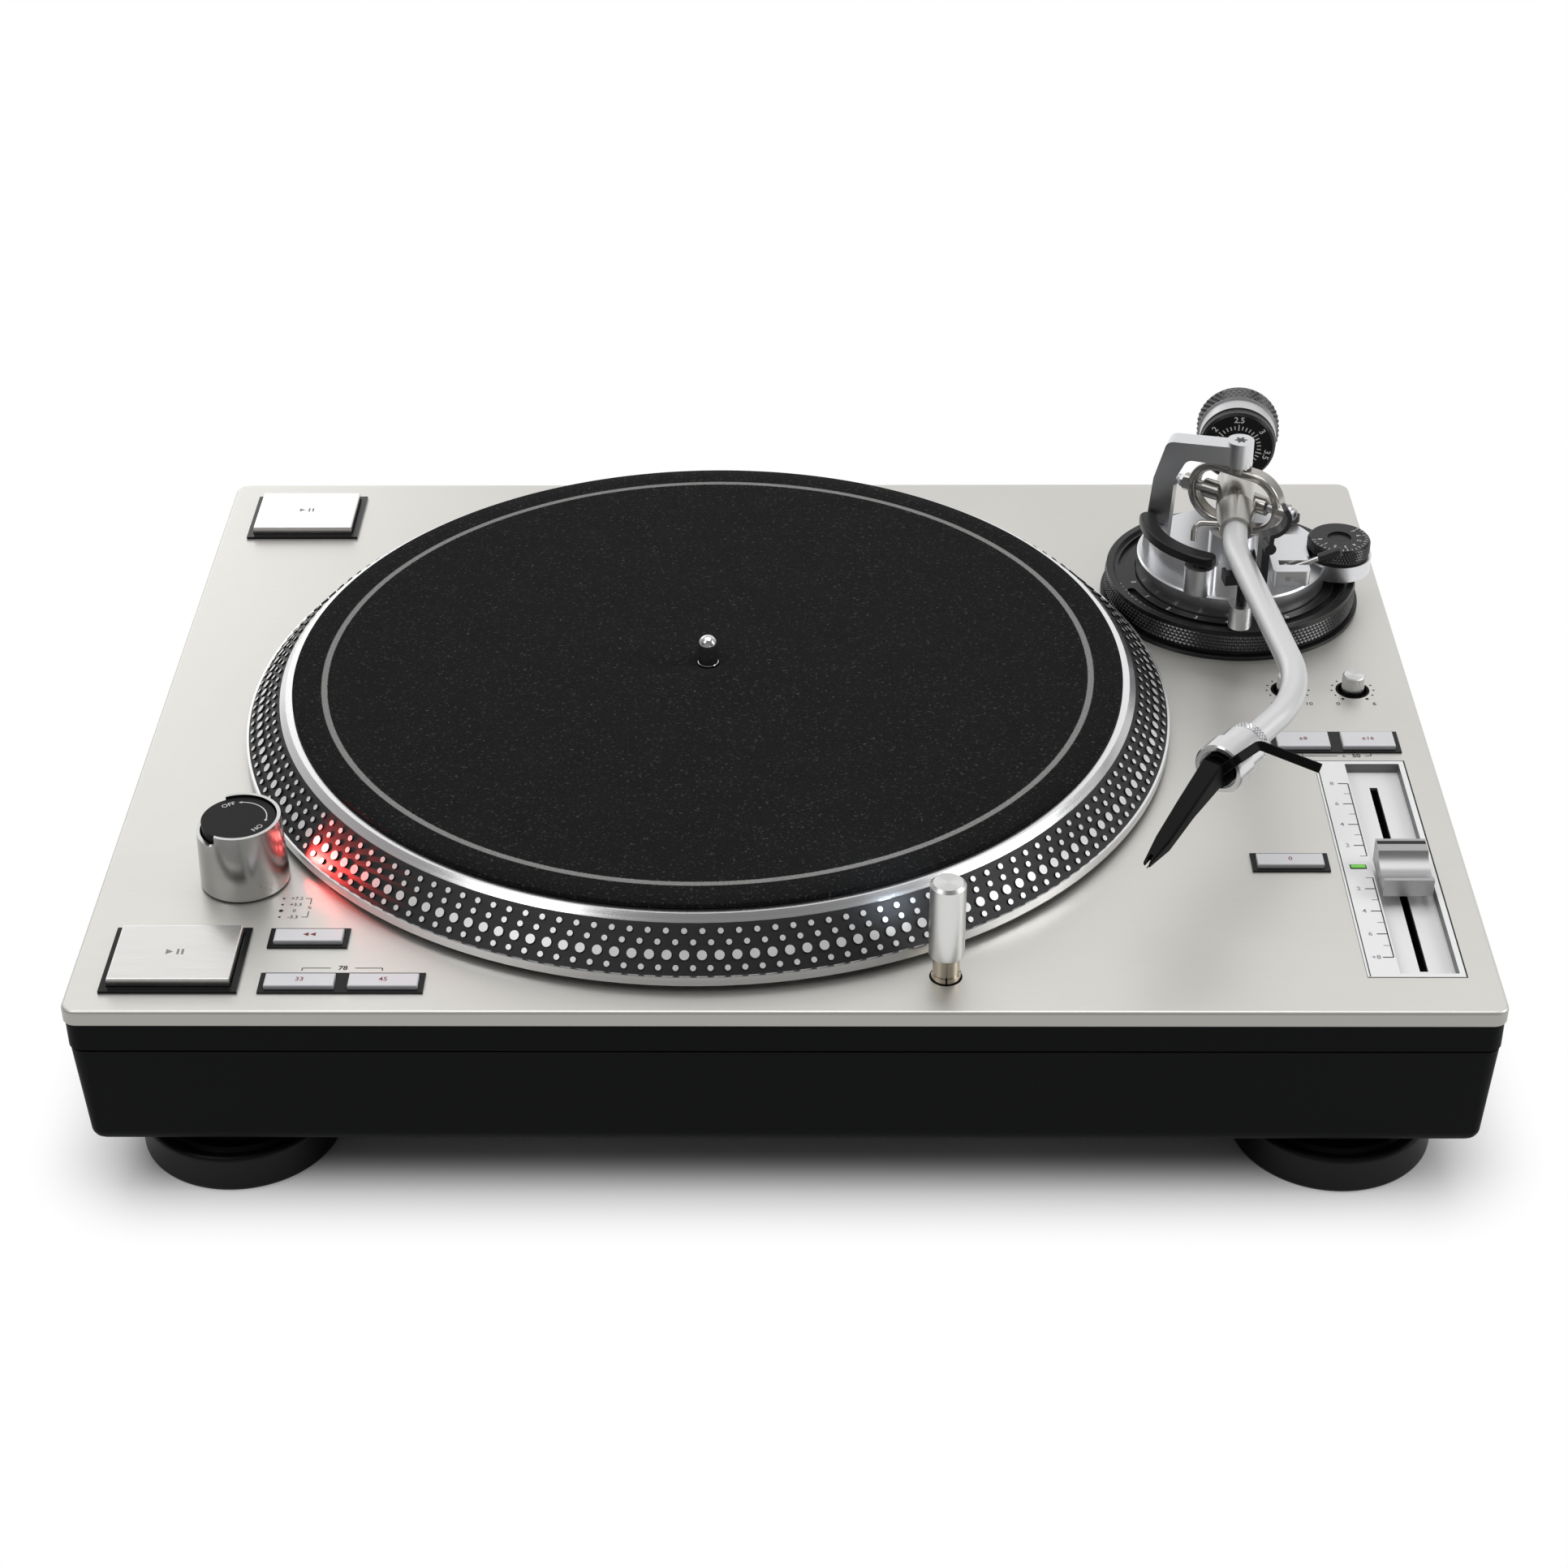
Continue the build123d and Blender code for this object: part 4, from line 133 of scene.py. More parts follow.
# %% White world
soft_fill = 0.42
front_share, ceiling_share, side_share, front_fill_share = 0.30, 0.62, 0.45, 0.4
world = bpy.data.worlds.new("white_sweep")
bpy.context.scene.world = world
world.use_nodes = True
sky = world.node_tree
rays = sky.nodes.new("ShaderNodeLightPath").outputs
toward = split(sky, sky.nodes.new("ShaderNodeTexCoord").outputs["Generated"])
behind = spread(sky, toward["Y"], -0.45, 0.50, front_share, 1.0)
under_ceiling = spread(sky, toward["Z"], 0.45, 0.95, 1.0, ceiling_share)
sideways = spread(sky, add_math(sky, "ABSOLUTE", toward["X"]), 0.45, 0.90, 1.0, side_share)
mirrored = add_math(sky, "MULTIPLY", add_math(sky, "MULTIPLY", behind, under_ceiling), sideways)
in_mirror = add_math(sky, "MULTIPLY", mirrored, rays["Is Glossy Ray"])
seen = add_math(sky, "MAXIMUM", rays["Is Camera Ray"], rays["Is Transmission Ray"])
not_mirror = add_math(sky, "SUBTRACT", 1.0, rays["Is Glossy Ray"])
fill = spread(sky, toward["Y"], -0.7, 0.1, soft_fill * front_fill_share, soft_fill)
soft = add_math(sky, "MULTIPLY", not_mirror, fill)
strength = add_math(sky, "MAXIMUM", add_math(sky, "MAXIMUM", seen, in_mirror), soft)
background = sky.nodes["Background"]
background.inputs["Color"].default_value = (1, 1, 1, 1)
sky.links.new(strength, background.inputs["Strength"])
print("soft fill:", soft_fill)


# %% Soft boxes
def hang_lamp(name, kind, place, target, watts, **settings):
    """Lamp of a kind at a place, facing a target point, with further settings of its light."""
    lamp = bpy.data.objects.new(name, bpy.data.lights.new(name, kind))
    lamp.data.energy = watts
    for label, value in settings.items():
        setattr(lamp.data, label, value)
    lamp.location = place
    lamp.rotation_euler = (Vector(target) - Vector(place)).to_track_quat("-Z", "Y").to_euler()
    lamp.visible_camera = False
    bpy.context.scene.collection.objects.link(lamp)


deck_middle = (0, 0, 0.08)
for name, place, width, height, watts in (
        ("top_box", (0.0, 0.15, 1.35), 1.3, 1.0, 7.6), ("left_box", (-0.75, 1.35, 0.62), 0.8, 0.5, 1.5),
        ("right_box", (1.15, -0.15, 0.7), 0.5, 0.7, 4.2), ("front_box", (-0.72, -0.50, 1.08), 0.5, 0.4, 2.0)):
    hang_lamp(name, "AREA", place, deck_middle, watts, shape="RECTANGLE", size=width, size_y=height)
    print(name, "in watts:", watts)

# %% [markdown]
# ## Floor
# The floor is a plain pale sheet. Close to the player it takes light and shadow like paper, and a few
# centimetres further out it turns into even white for the camera, as a sweep does when it is lit from
# behind. The change is measured from the edge of the case, so that the shadow keeps its straight edge.


# %% Material helpers
def new_finish(name, metallic=0.0, specular=0.5):
    """Material for one finish, with its shader."""
    finish = bpy.data.materials.new(name)
    finish.use_nodes = True
    shader = finish.node_tree.nodes["Principled BSDF"]
    shader.inputs["Metallic"].default_value = metallic
    shader.inputs["Specular IOR Level"].default_value = specular
    return finish, shader


def spot_on(tree):
    """Place of a point on its object, as a vector."""
    return tree.nodes.new("ShaderNodeTexCoord").outputs["Object"]


def past_edge(tree, value, edge):
    """Distance of a signed value beyond an edge on either side, or nothing inside it."""
    beyond = add_math(tree, "SUBTRACT", add_math(tree, "ABSOLUTE", value), edge)
    return add_math(tree, "MAXIMUM", beyond, 0.0)


def diagonal(tree, first, second):
    """Length of the way that goes by two values at right angles."""
    squares = [add_math(tree, "POWER", value, 2.0) for value in (first, second)]
    return add_math(tree, "SQRT", add_math(tree, "ADD", *squares))


print("material helpers ready")

# %% Floor sheet
floor_half = 6.0
shade_half_width, shade_half_depth = 0.205, 0.148
white_from, white_to = 0.003, 0.053
floor_mesh = bpy.data.meshes.new("floor")
floor_corners = [(x * floor_half, y * floor_half, 0) for x, y in ((-1, -1), (1, -1), (1, 1), (-1, 1))]
floor_mesh.from_pydata(floor_corners, [], [(0, 1, 2, 3)])
floor = bpy.data.objects.new("floor", floor_mesh)
bpy.context.scene.collection.objects.link(floor)
floor_paper, paper = new_finish("floor_paper", specular=0.0)
paper.inputs["Base Color"].default_value = (0.84, 0.84, 0.84, 1)
paper.inputs["Roughness"].default_value = 1.0
floor.data.materials.append(floor_paper)
print("floor in metres:", 2 * floor_half)

# %% White beyond the shadow
tree = floor_paper.node_tree
place = split(tree, spot_on(tree))
beside = past_edge(tree, place["X"], shade_half_width)
before = past_edge(tree, place["Y"], shade_half_depth)
white_out = spread(tree, diagonal(tree, beside, before), white_from, white_to, way="SMOOTHSTEP")
rays = tree.nodes.new("ShaderNodeLightPath").outputs
reflected = add_math(tree, "MAXIMUM", rays["Is Glossy Ray"], rays["Is Transmission Ray"])
looked_at = add_math(tree, "MAXIMUM", rays["Is Camera Ray"], reflected)
glow = tree.nodes.new("ShaderNodeEmission")
paper_or_white = tree.nodes.new("ShaderNodeMixShader")
tree.links.new(add_math(tree, "MULTIPLY", white_out, looked_at), paper_or_white.inputs[0])
tree.links.new(paper.outputs[0], paper_or_white.inputs[1])
tree.links.new(glow.outputs[0], paper_or_white.inputs[2])
tree.links.new(paper_or_white.outputs[0], tree.nodes["Material Output"].inputs["Surface"])
print("white from the case, in mm:", round(white_to / mm))

# %% [markdown]
# ## Effects that several finishes share
# Real surfaces are never even. Paint and moulded plastic have a fine grain and slow drifts in tone,
# turned metal carries rings from the lathe, brushed metal has straight hairlines, and edges are polished
# by use. The edge group also paints a thin highlight along the edge as a lighter tone. Each effect is one
# node group, so that every finish can place it with its own scale.


# %% Group helpers
def new_group(name, inputs, outputs):
    """Empty shader node group with named sockets. Returns the tree, its way in and its way out."""
    group = bpy.data.node_groups.new(name, "ShaderNodeTree")
    for label, kind, value in inputs:
        socket = group.interface.new_socket(name=label, in_out="INPUT", socket_type=kind)
        socket.default_value = value
    for label in outputs:
        group.interface.new_socket(name=label, in_out="OUTPUT", socket_type="NodeSocketFloat")
    return group, group.nodes.new("NodeGroupInput"), group.nodes.new("NodeGroupOutput")


def vector_math(tree, operation, first, second=(0, 0, 0)):
    """Vector math node of two vectors, each a socket or three numbers. Returns the node."""
    step = tree.nodes.new("ShaderNodeVectorMath")
    step.operation = operation
    for socket, value in zip(step.inputs, (first, second)):
        if isinstance(value, tuple):
            socket.default_value = value
        else:
            tree.links.new(value, socket)
    return step


def noise_of(tree, vector, size, detail=3.0, roughness=0.55):
    """Noise over a vector. The size of its grains is a number or a socket, in mm. Returns its value."""
    step = tree.nodes.new("ShaderNodeTexNoise")
    step.inputs["Detail"].default_value = detail
    step.inputs["Roughness"].default_value = roughness
    tree.links.new(vector, step.inputs["Vector"])
    if isinstance(size, float):
        step.inputs["Scale"].default_value = 1 / (size * mm)
    else:
        tree.links.new(add_math(tree, "DIVIDE", 1 / mm, size), step.inputs["Scale"])
    return step.outputs["Fac"]


print("group helpers ready")

# %% Fine grain
fine_grain, grain_in, grain_out = new_group(
    "fine_grain", [("Grain mm", "NodeSocketFloat", 0.4), ("Drift mm", "NodeSocketFloat", 60.0)],
    ["Grain", "Drift"])
spot = spot_on(fine_grain)
fine = noise_of(fine_grain, spot, grain_in.outputs["Grain mm"])
slow = noise_of(fine_grain, spot, grain_in.outputs["Drift mm"], 2.0)
fine_grain.links.new(fine, grain_out.inputs["Grain"])
fine_grain.links.new(spread(fine_grain, slow, 0.3, 0.7), grain_out.inputs["Drift"])
print("group:", fine_grain.name)

# %% Turned rings
turned_rings, rings_in, rings_out = new_group(
    "turned_rings", [("Centre", "NodeSocketVector", (0, 0, 0)), ("Axis", "NodeSocketVector", (0, 0, 1)),
                     ("Ring mm", "NodeSocketFloat", 0.25)], ["Rings", "Radius", "Along"])
centre, axis = rings_in.outputs["Centre"], rings_in.outputs["Axis"]
offset = vector_math(turned_rings, "SUBTRACT", spot_on(turned_rings), centre).outputs["Vector"]
along = vector_math(turned_rings, "DOT_PRODUCT", offset, axis).outputs["Value"]
axis_part = vector_math(turned_rings, "SCALE", axis)
turned_rings.links.new(along, axis_part.inputs["Scale"])
outward = vector_math(turned_rings, "SUBTRACT", offset, axis_part.outputs["Vector"]).outputs["Vector"]
radius = vector_math(turned_rings, "LENGTH", outward).outputs["Value"]
profile = turned_rings.nodes.new("ShaderNodeCombineXYZ")
turned_rings.links.new(radius, profile.inputs["X"])
turned_rings.links.new(along, profile.inputs["Y"])
ring_noise = noise_of(turned_rings, profile.outputs[0], rings_in.outputs["Ring mm"], 2.0)
for label, value in (("Rings", ring_noise), ("Radius", radius), ("Along", along)):
    turned_rings.links.new(value, rings_out.inputs[label])
print("group:", turned_rings.name)

# %% Brushed hairlines
brushed_lines, brush_in, brush_out = new_group(
    "brushed_lines", [("Along", "NodeSocketVector", (1, 0, 0)), ("Across", "NodeSocketVector", (0, 1, 0)),
                      ("Line mm", "NodeSocketFloat", 0.12)], ["Lines"])
width_per_length = 0.012
spot = spot_on(brushed_lines)
along = vector_math(brushed_lines, "DOT_PRODUCT", spot, brush_in.outputs["Along"]).outputs["Value"]
across = vector_math(brushed_lines, "DOT_PRODUCT", spot, brush_in.outputs["Across"]).outputs["Value"]
stretched = brushed_lines.nodes.new("ShaderNodeCombineXYZ")
brushed_lines.links.new(add_math(brushed_lines, "MULTIPLY", along, width_per_length), stretched.inputs["X"])
brushed_lines.links.new(across, stretched.inputs["Y"])
hairs = noise_of(brushed_lines, stretched.outputs[0], brush_in.outputs["Line mm"])
brushed_lines.links.new(hairs, brush_out.inputs["Lines"])
print("group:", brushed_lines.name)

# %% Edge wear and painted edge highlight
edge_wear_and_highlight, edge_in, edge_out = new_group("edge_wear_and_highlight", [("Width mm", "NodeSocketFloat", 0.5)], ["Edge"])
rounded = edge_wear_and_highlight.nodes.new("ShaderNodeBevel")
rounded.samples = 4
edge_width = add_math(edge_wear_and_highlight, "MULTIPLY", edge_in.outputs["Width mm"], mm)
edge_wear_and_highlight.links.new(edge_width, rounded.inputs["Radius"])
facing = edge_wear_and_highlight.nodes.new("ShaderNodeNewGeometry").outputs["Normal"]
same_way = vector_math(edge_wear_and_highlight, "DOT_PRODUCT", rounded.outputs["Normal"], facing).outputs["Value"]
edge_wear_and_highlight.links.new(spread(edge_wear_and_highlight, same_way, 0.995, 0.80), edge_out.inputs["Edge"])
print("group:", edge_wear_and_highlight.name)

# %% [markdown]
# ## Faces that look up
# Some pieces are finished differently on top and on their sides, and on some the sides get a darker
# tone painted on as shade. Splitting the mesh would be one way to do that, but the solids stay as they
# are. So one more group tells how far a face looks up: 1 for a level top, 0 for an upright wall.

# %% Faces that look up
looks_up, _, looks_out = new_group("looks_up", [], ["Up"])
facing = split(looks_up, looks_up.nodes.new("ShaderNodeNewGeometry").outputs["True Normal"])
looks_up.links.new(facing["Z"], looks_out.inputs["Up"])
print("group:", looks_up.name)

# %% [markdown]
# ## Finishes for the solids
# One small function turns masks into a finish: the mask blends two close tones, moves the roughness a
# little and lifts the surface by some hundredths of a millimetre. A flat colour would do for a sketch,
# but it looks like clay as soon as the light moves.


# %% Dress a shader
def two_tone(tree, mask, first, second):
    """Colour that goes from the first tone to the second with the mask. A tone is a colour or a socket."""
    step = tree.nodes.new("ShaderNodeMix")
    step.data_type = "RGBA"
    tree.links.new(mask, step.inputs[0])
    for socket, tone in ((step.inputs[6], first), (step.inputs[7], second)):
        if isinstance(tone, tuple):
            socket.default_value = (*tone, 1)
        else:
            tree.links.new(tone, socket)
    return step.outputs[2]


def place_group(tree, group, **values):
    """Places a node group in a material and sets its inputs by name, with _ for a space."""
    step = tree.nodes.new("ShaderNodeGroup")
    step.node_tree = group
    for label, value in values.items():
        step.inputs[label.replace("_", " ")].default_value = value
    return step.outputs


def raise_by(tree, shader, mask, relief):
    """Lets a mask lift the surface. The relief is in millimetres."""
    bump = tree.nodes.new("ShaderNodeBump")
    bump.inputs["Distance"].default_value = relief * mm
    tree.links.new(mask, bump.inputs["Height"])
    tree.links.new(bump.outputs["Normal"], shader.inputs["Normal"])


def dress(finish, shader, mask, dark, light, smooth, rough, relief):
    """Lets a mask drive colour, roughness and a fine relief."""
    tree = finish.node_tree
    tree.links.new(two_tone(tree, mask, dark, light), shader.inputs["Base Color"])
    tree.links.new(spread(tree, mask, 0.0, 1.0, smooth, rough), shader.inputs["Roughness"])
    raise_by(tree, shader, mask, relief)
    return finish


print("dressing ready")


# %% Layers of a finish
def weigh(tree, *parts):
    """Sum of masks, each given with its share."""
    weighed = [add_math(tree, "MULTIPLY", mask, share) for mask, share in parts]
    total = weighed[0]
    for value in weighed[1:]:
        total = add_math(tree, "ADD", total, value)
    return total


def paint_over(tree, shader, mask, tone):
    """Lays a tone over the colour that a shader has, where the mask is."""
    below = shader.inputs["Base Color"].links[0].from_socket
    tree.links.new(two_tone(tree, mask, below, tone), shader.inputs["Base Color"])


def streak_round(tree, shader, streak):
    """Draws the highlights into streaks round the upright axis, as the marks of a lathe do."""
    shader.inputs["Anisotropic"].default_value = streak
    around = tree.nodes.new("ShaderNodeTangent")
    around.direction_type = "RADIAL"
    tree.links.new(around.outputs[0], shader.inputs["Tangent"])


print("layers ready")


# %% Ways of making a surface
def moulded(name, dark, light, smooth, rough, grain=0.4, relief=0.02, metallic=0.0, specular=0.5, worn_and_lit_edge=None):
    """Paint, plastic or cast metal: a fine grain over a slow drift in tone. Its edges may get a lighter tone,
    painted as wear and as the highlight along the edge.
    """
    finish, shader = new_finish(name, metallic, specular)
    tree = finish.node_tree
    noise = place_group(tree, fine_grain, Grain_mm=grain)
    mask = weigh(tree, (noise["Grain"], 0.6), (noise["Drift"], 0.4))
    dress(finish, shader, mask, dark, light, smooth, rough, relief)
    if worn_and_lit_edge:
        # Lighter edge tone: painted wear and painted highlight along the edge.
        paint_over(tree, shader, place_group(tree, edge_wear_and_highlight, Width_mm=0.35)["Edge"], worn_and_lit_edge)
    return finish


def turned(name, joint, dark, light, smooth, rough, ring=0.25, relief=0.01, streak=0.0):
    """Lathe-turned metal: rings round the axis of a joint, which draw the highlight into streaks."""
    finish, shader = new_finish(name, 1.0)
    tree = finish.node_tree
    centre, axis = joints[joint]["pos_m"], joints[joint]["axis"]
    rings = place_group(tree, turned_rings, Centre=centre, Axis=axis, Ring_mm=ring)
    streak_round(tree, shader, streak)
    return dress(finish, shader, rings["Rings"], dark, light, smooth, rough, relief)


def brushed(name, dark, light, smooth, rough, line=0.12, relief=0.006):
    """Metal brushed from side to side."""
    finish, shader = new_finish(name, 1.0)
    lines = place_group(finish.node_tree, brushed_lines, Line_mm=line)
    return dress(finish, shader, lines["Lines"], dark, light, smooth, rough, relief)


print("finish makers ready")

# %% [markdown]
# ## Face plate
# The plate is aluminium, brushed from side to side and then sprayed with a satin silver lacquer, so that
# the hairlines only just show. It could be plain grey paint, but its tone changes with the light as
# metal does. Hairlines and a fine grain are therefore added up to one mask over a mostly metallic shader.
# Faces that don't look up, such as the rolled edge, get a darker tone painted on as shade, which the
# material reads from the way they face.

# %% Silver lacquer
silver_lacquer, shader = new_finish("silver_lacquer", 0.82)
tree = silver_lacquer.node_tree
hairlines = place_group(tree, brushed_lines, Line_mm=0.25)
noise = place_group(tree, fine_grain, Grain_mm=0.35, Drift_mm=90.0)
mask = weigh(tree, (hairlines["Lines"], 0.5), (noise["Grain"], 0.35), (noise["Drift"], 0.15))
dress(silver_lacquer, shader, mask, (0.60, 0.59, 0.56), (0.72, 0.71, 0.675), 0.34, 0.46, 0.012)
# Painted shade: a darker tone on faces that turn away from the top.
shaded_side = spread(tree, place_group(tree, looks_up)["Up"], 0.7, 0.2)
paint_over(tree, shader, shaded_side, (0.40, 0.392, 0.365))
print("finish:", silver_lacquer.name)

# %% [markdown]
# ## Case, feet and buttons
# The case below the plate is black moulded plastic with a very fine texture, and the feet are rubber.
# The trays round the buttons are glossy, and their edges get a thin grey line painted on, partly as wear
# and partly as the highlight along the edge.
# The large caps are brushed aluminium, the small ones are sprayed plastic.

# %% Case finishes
satin_black = moulded("satin_black", (0.0030, 0.0033, 0.0039), (0.0048, 0.0053, 0.0061), 0.46, 0.58,
                      grain=0.5, specular=0.06)
foot_rubber = moulded("foot_rubber", (0.004, 0.004, 0.0045), (0.006, 0.006, 0.0065), 0.34, 0.46,
                      grain=0.6, specular=0.16)
gloss_black = moulded("gloss_black", (0.004, 0.004, 0.0045), (0.006, 0.006, 0.0065), 0.16, 0.26,
                      grain=1.2, relief=0.004, specular=0.22, worn_and_lit_edge=(0.03, 0.03, 0.03))
button_cap = moulded("button_cap", (0.66, 0.66, 0.69), (0.76, 0.76, 0.78), 0.34, 0.44,
                     grain=0.3, relief=0.01, metallic=0.15)
core_black = moulded("core_black", (0.007, 0.007, 0.007), (0.013, 0.013, 0.0125), 0.40, 0.52,
                     grain=0.35, relief=0.015, specular=0.10)
brushed_cap = brushed("brushed_cap", (0.70, 0.685, 0.665), (0.84, 0.83, 0.815), 0.20, 0.265, line=0.3)
print("case finishes:", 6)

# %% [markdown]
# ## Fader tray
# The tray is sprayed almost white, so that the fine scale can be read on a dark stage, while its low
# walls get a darker tone painted on as the shade in the recess. The material finds the walls by the
# direction that they face.

# %% White tray with darker walls
tray_white = moulded("tray_white", (0.86, 0.86, 0.865), (0.93, 0.93, 0.935), 0.38, 0.50,
                     grain=0.3, relief=0.008)
tree = tray_white.node_tree
# Painted shade: the walls of the recess are darkened.
shaded_wall = add_math(tree, "LESS_THAN", place_group(tree, looks_up)["Up"], 0.7)
paint_over(tree, tree.nodes["Principled BSDF"], shaded_wall, (0.16, 0.16, 0.165))
print("finish:", tray_white.name)

# %% [markdown]
# ## Metals
# Aluminium, nickel and steel differ mostly in how they were worked. The switch and the knobs were turned
# on a lathe, which leaves streaks like a bow tie on their flat tops. The fader knob was brushed, the arm
# tube is satin and its base is cast and polished. A roughness range across about 0.27 would look like
# sand once the render is cleaned of noise, so each range that shows stays on one side of it.

# %% Turned metal
sleeve_satin = turned("sleeve_satin", "power_turn", (0.56, 0.56, 0.55), (0.70, 0.70, 0.69), 0.20, 0.265,
                      ring=0.2, relief=0.004, streak=0.5)
torque_turned, brake_turned = (
    turned(knob + "_turned", knob + "_turn", (0.60, 0.60, 0.60), (0.76, 0.76, 0.75), 0.30, 0.42,
           ring=0.12, relief=0.004, streak=0.9) for knob in ("torque", "brake"))
knob_brush = brushed("knob_brush", (0.36, 0.36, 0.36), (0.48, 0.48, 0.48), 0.30, 0.42,
                     line=0.10, relief=0.005)
print("turned and brushed finishes:", 4)

# %% Cast, drawn and plated metal
screw_steel = moulded("screw_steel", (0.42, 0.42, 0.43), (0.55, 0.55, 0.56), 0.29, 0.38,
                      grain=0.6, relief=0.004, metallic=1.0)
spindle_chrome = moulded("spindle_chrome", (0.62, 0.62, 0.63), (0.74, 0.74, 0.75), 0.06, 0.14,
                         grain=1.5, relief=0.002, metallic=1.0)
cast_bright = moulded("cast_bright", (0.66, 0.665, 0.68), (0.74, 0.745, 0.76), 0.29, 0.34,
                      grain=1.4, relief=0.0006, metallic=1.0)
arm_nickel = moulded("arm_nickel", (0.44, 0.425, 0.40), (0.49, 0.475, 0.45), 0.21, 0.265,
                     grain=0.8, relief=0.0005, metallic=1.0)
arm_satin = moulded("arm_satin", (0.62, 0.62, 0.63), (0.72, 0.72, 0.725), 0.40, 0.50,
                    relief=0.003, metallic=0.75)
collar_metal = moulded("collar_metal", (0.66, 0.66, 0.67), (0.74, 0.74, 0.75), 0.20, 0.265,
                       grain=0.8, relief=0.0006, metallic=1.0)
terminal_metal = moulded("terminal_metal", (0.70, 0.54, 0.24), (0.80, 0.64, 0.32), 0.18, 0.265,
                         grain=0.8, relief=0.004, metallic=1.0)
grip_black = moulded("grip_black", (0.065, 0.065, 0.067), (0.09, 0.09, 0.092), 0.20, 0.265,
                     grain=0.6, relief=0.001, metallic=1.0)
print("metal finishes:", 8)

# %% Black of the arm base and the cartridge
# The lighter edge tone on these blacks is partly wear and partly a painted highlight.
ring_black = moulded("ring_black", (0.004, 0.004, 0.0045), (0.007, 0.007, 0.0075), 0.285, 0.36,
                     relief=0.008, specular=0.3, worn_and_lit_edge=(0.09, 0.09, 0.09))
cartridge_black = moulded("cartridge_black", (0.003, 0.003, 0.0035), (0.006, 0.006, 0.0065), 0.285, 0.35,
                          relief=0.004, specular=0.06, worn_and_lit_edge=(0.03, 0.03, 0.03))
print("finishes:", ring_black.name, cartridge_black.name)

# %% Finishes inside the case
motor_steel = brushed("motor_steel", (0.36, 0.36, 0.37), (0.46, 0.46, 0.47), 0.3, 0.45, line=0.2)
magnet_grey = moulded("magnet_grey", (0.08, 0.08, 0.085), (0.13, 0.13, 0.14), 0.5, 0.7,
                      grain=0.5, relief=0.03, metallic=0.4)
coil_copper = moulded("coil_copper", (0.48, 0.22, 0.10), (0.66, 0.33, 0.16), 0.25, 0.4,
                      grain=0.3, relief=0.03, metallic=1.0)
bearing_brass = moulded("bearing_brass", (0.62, 0.48, 0.21), (0.74, 0.59, 0.28), 0.2, 0.35,
                        grain=0.5, relief=0.01, metallic=1.0)
board_green = moulded("board_green", (0.02, 0.14, 0.05), (0.04, 0.22, 0.09), 0.3, 0.45, grain=0.8)
print("inner finishes:", 5)

# %% [markdown]
# ## Points on the player
# Several steps below need the height of the deck, the middle of a piece or the line of the arm. They could
# be typed in as numbers each time, but a value read from the solids stays right when a solid changes, and
# one name for it keeps the steps short.

# %% Points on the player
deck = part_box("top_plate")[1].z


def on_deck(x, y, rise=0.0):
    """Point on the face plate or above it, from millimetres."""
    return Vector((x * mm, y * mm, deck + rise * mm))


def middle_of(node, height=None):
    """Middle of a node seen from above, at a height or else at its top."""
    low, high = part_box(node)
    return Vector(((low.x + high.x) / 2, (low.y + high.y) / 2, high.z if height is None else height))


pivot_rise, arm_angle = 43.0 * mm, math.radians(7.2)
arm_pivot = Vector(joints["arm_yaw"]["pos_m"])
arm_pivot.z = deck + pivot_rise
arm_ahead = Vector((-math.sin(arm_angle), -math.cos(arm_angle), 0))
print("deck in mm:", round(deck / mm, 2), "arm pivot in mm:", [round(value / mm, 2) for value in arm_pivot])

# %% [markdown]
# ## Pieces with two finishes
# Three turned pieces change finish along their axis. The record lamp is satin on a nickel foot, the
# weight has a silver band between a black dial and a black grip, and the lever ends in a black sleeve.
# Cutting the mesh would break the rule that solids stay as they are, so the material measures the
# distance along the axis and picks the finish from that.


# %% Finish by distance along an axis
def mix_value(tree, mask, first, second):
    """Value that goes from the first, a number or a socket, to the second number with the mask."""
    step = tree.nodes.new("ShaderNodeMix")
    tree.links.new(mask, step.inputs[0])
    if isinstance(first, float):
        step.inputs[2].default_value = first
    else:
        tree.links.new(first, step.inputs[2])
    step.inputs[3].default_value = second
    return step.outputs[0]


def along_axis(name, centre, axis, bands, ring=0.2, relief=0.006, streak=0.0):
    """Finish that changes along an axis. Each band: end distance in mm, tone, metallic, roughness."""
    end, _, metallic, roughness = bands[0]
    finish, shader = new_finish(name, metallic)
    shader.inputs["Anisotropic"].default_value = streak
    tree = finish.node_tree
    rings = place_group(tree, turned_rings, Centre=centre, Axis=axis, Ring_mm=ring)
    tones = [two_tone(tree, rings["Rings"], tuple(part * 0.86 for part in band[1]), band[1])
             for band in bands]
    several_metals = len({band[2] for band in bands}) > 1
    colour = tones[0]
    for (next_end, _, next_metallic, next_roughness), next_tone in zip(bands[1:], tones[1:]):
        beyond = add_math(tree, "GREATER_THAN", rings["Along"], end * mm)
        colour = two_tone(tree, beyond, colour, next_tone)
        if several_metals:
            metallic = mix_value(tree, beyond, metallic, next_metallic)
        roughness = mix_value(tree, beyond, roughness, next_roughness)
        end = next_end
    tree.links.new(colour, shader.inputs["Base Color"])
    tree.links.new(roughness, shader.inputs["Roughness"])
    if several_metals:
        tree.links.new(metallic, shader.inputs["Metallic"])
    raise_by(tree, shader, rings["Rings"], relief)
    return finish


print("bands ready")

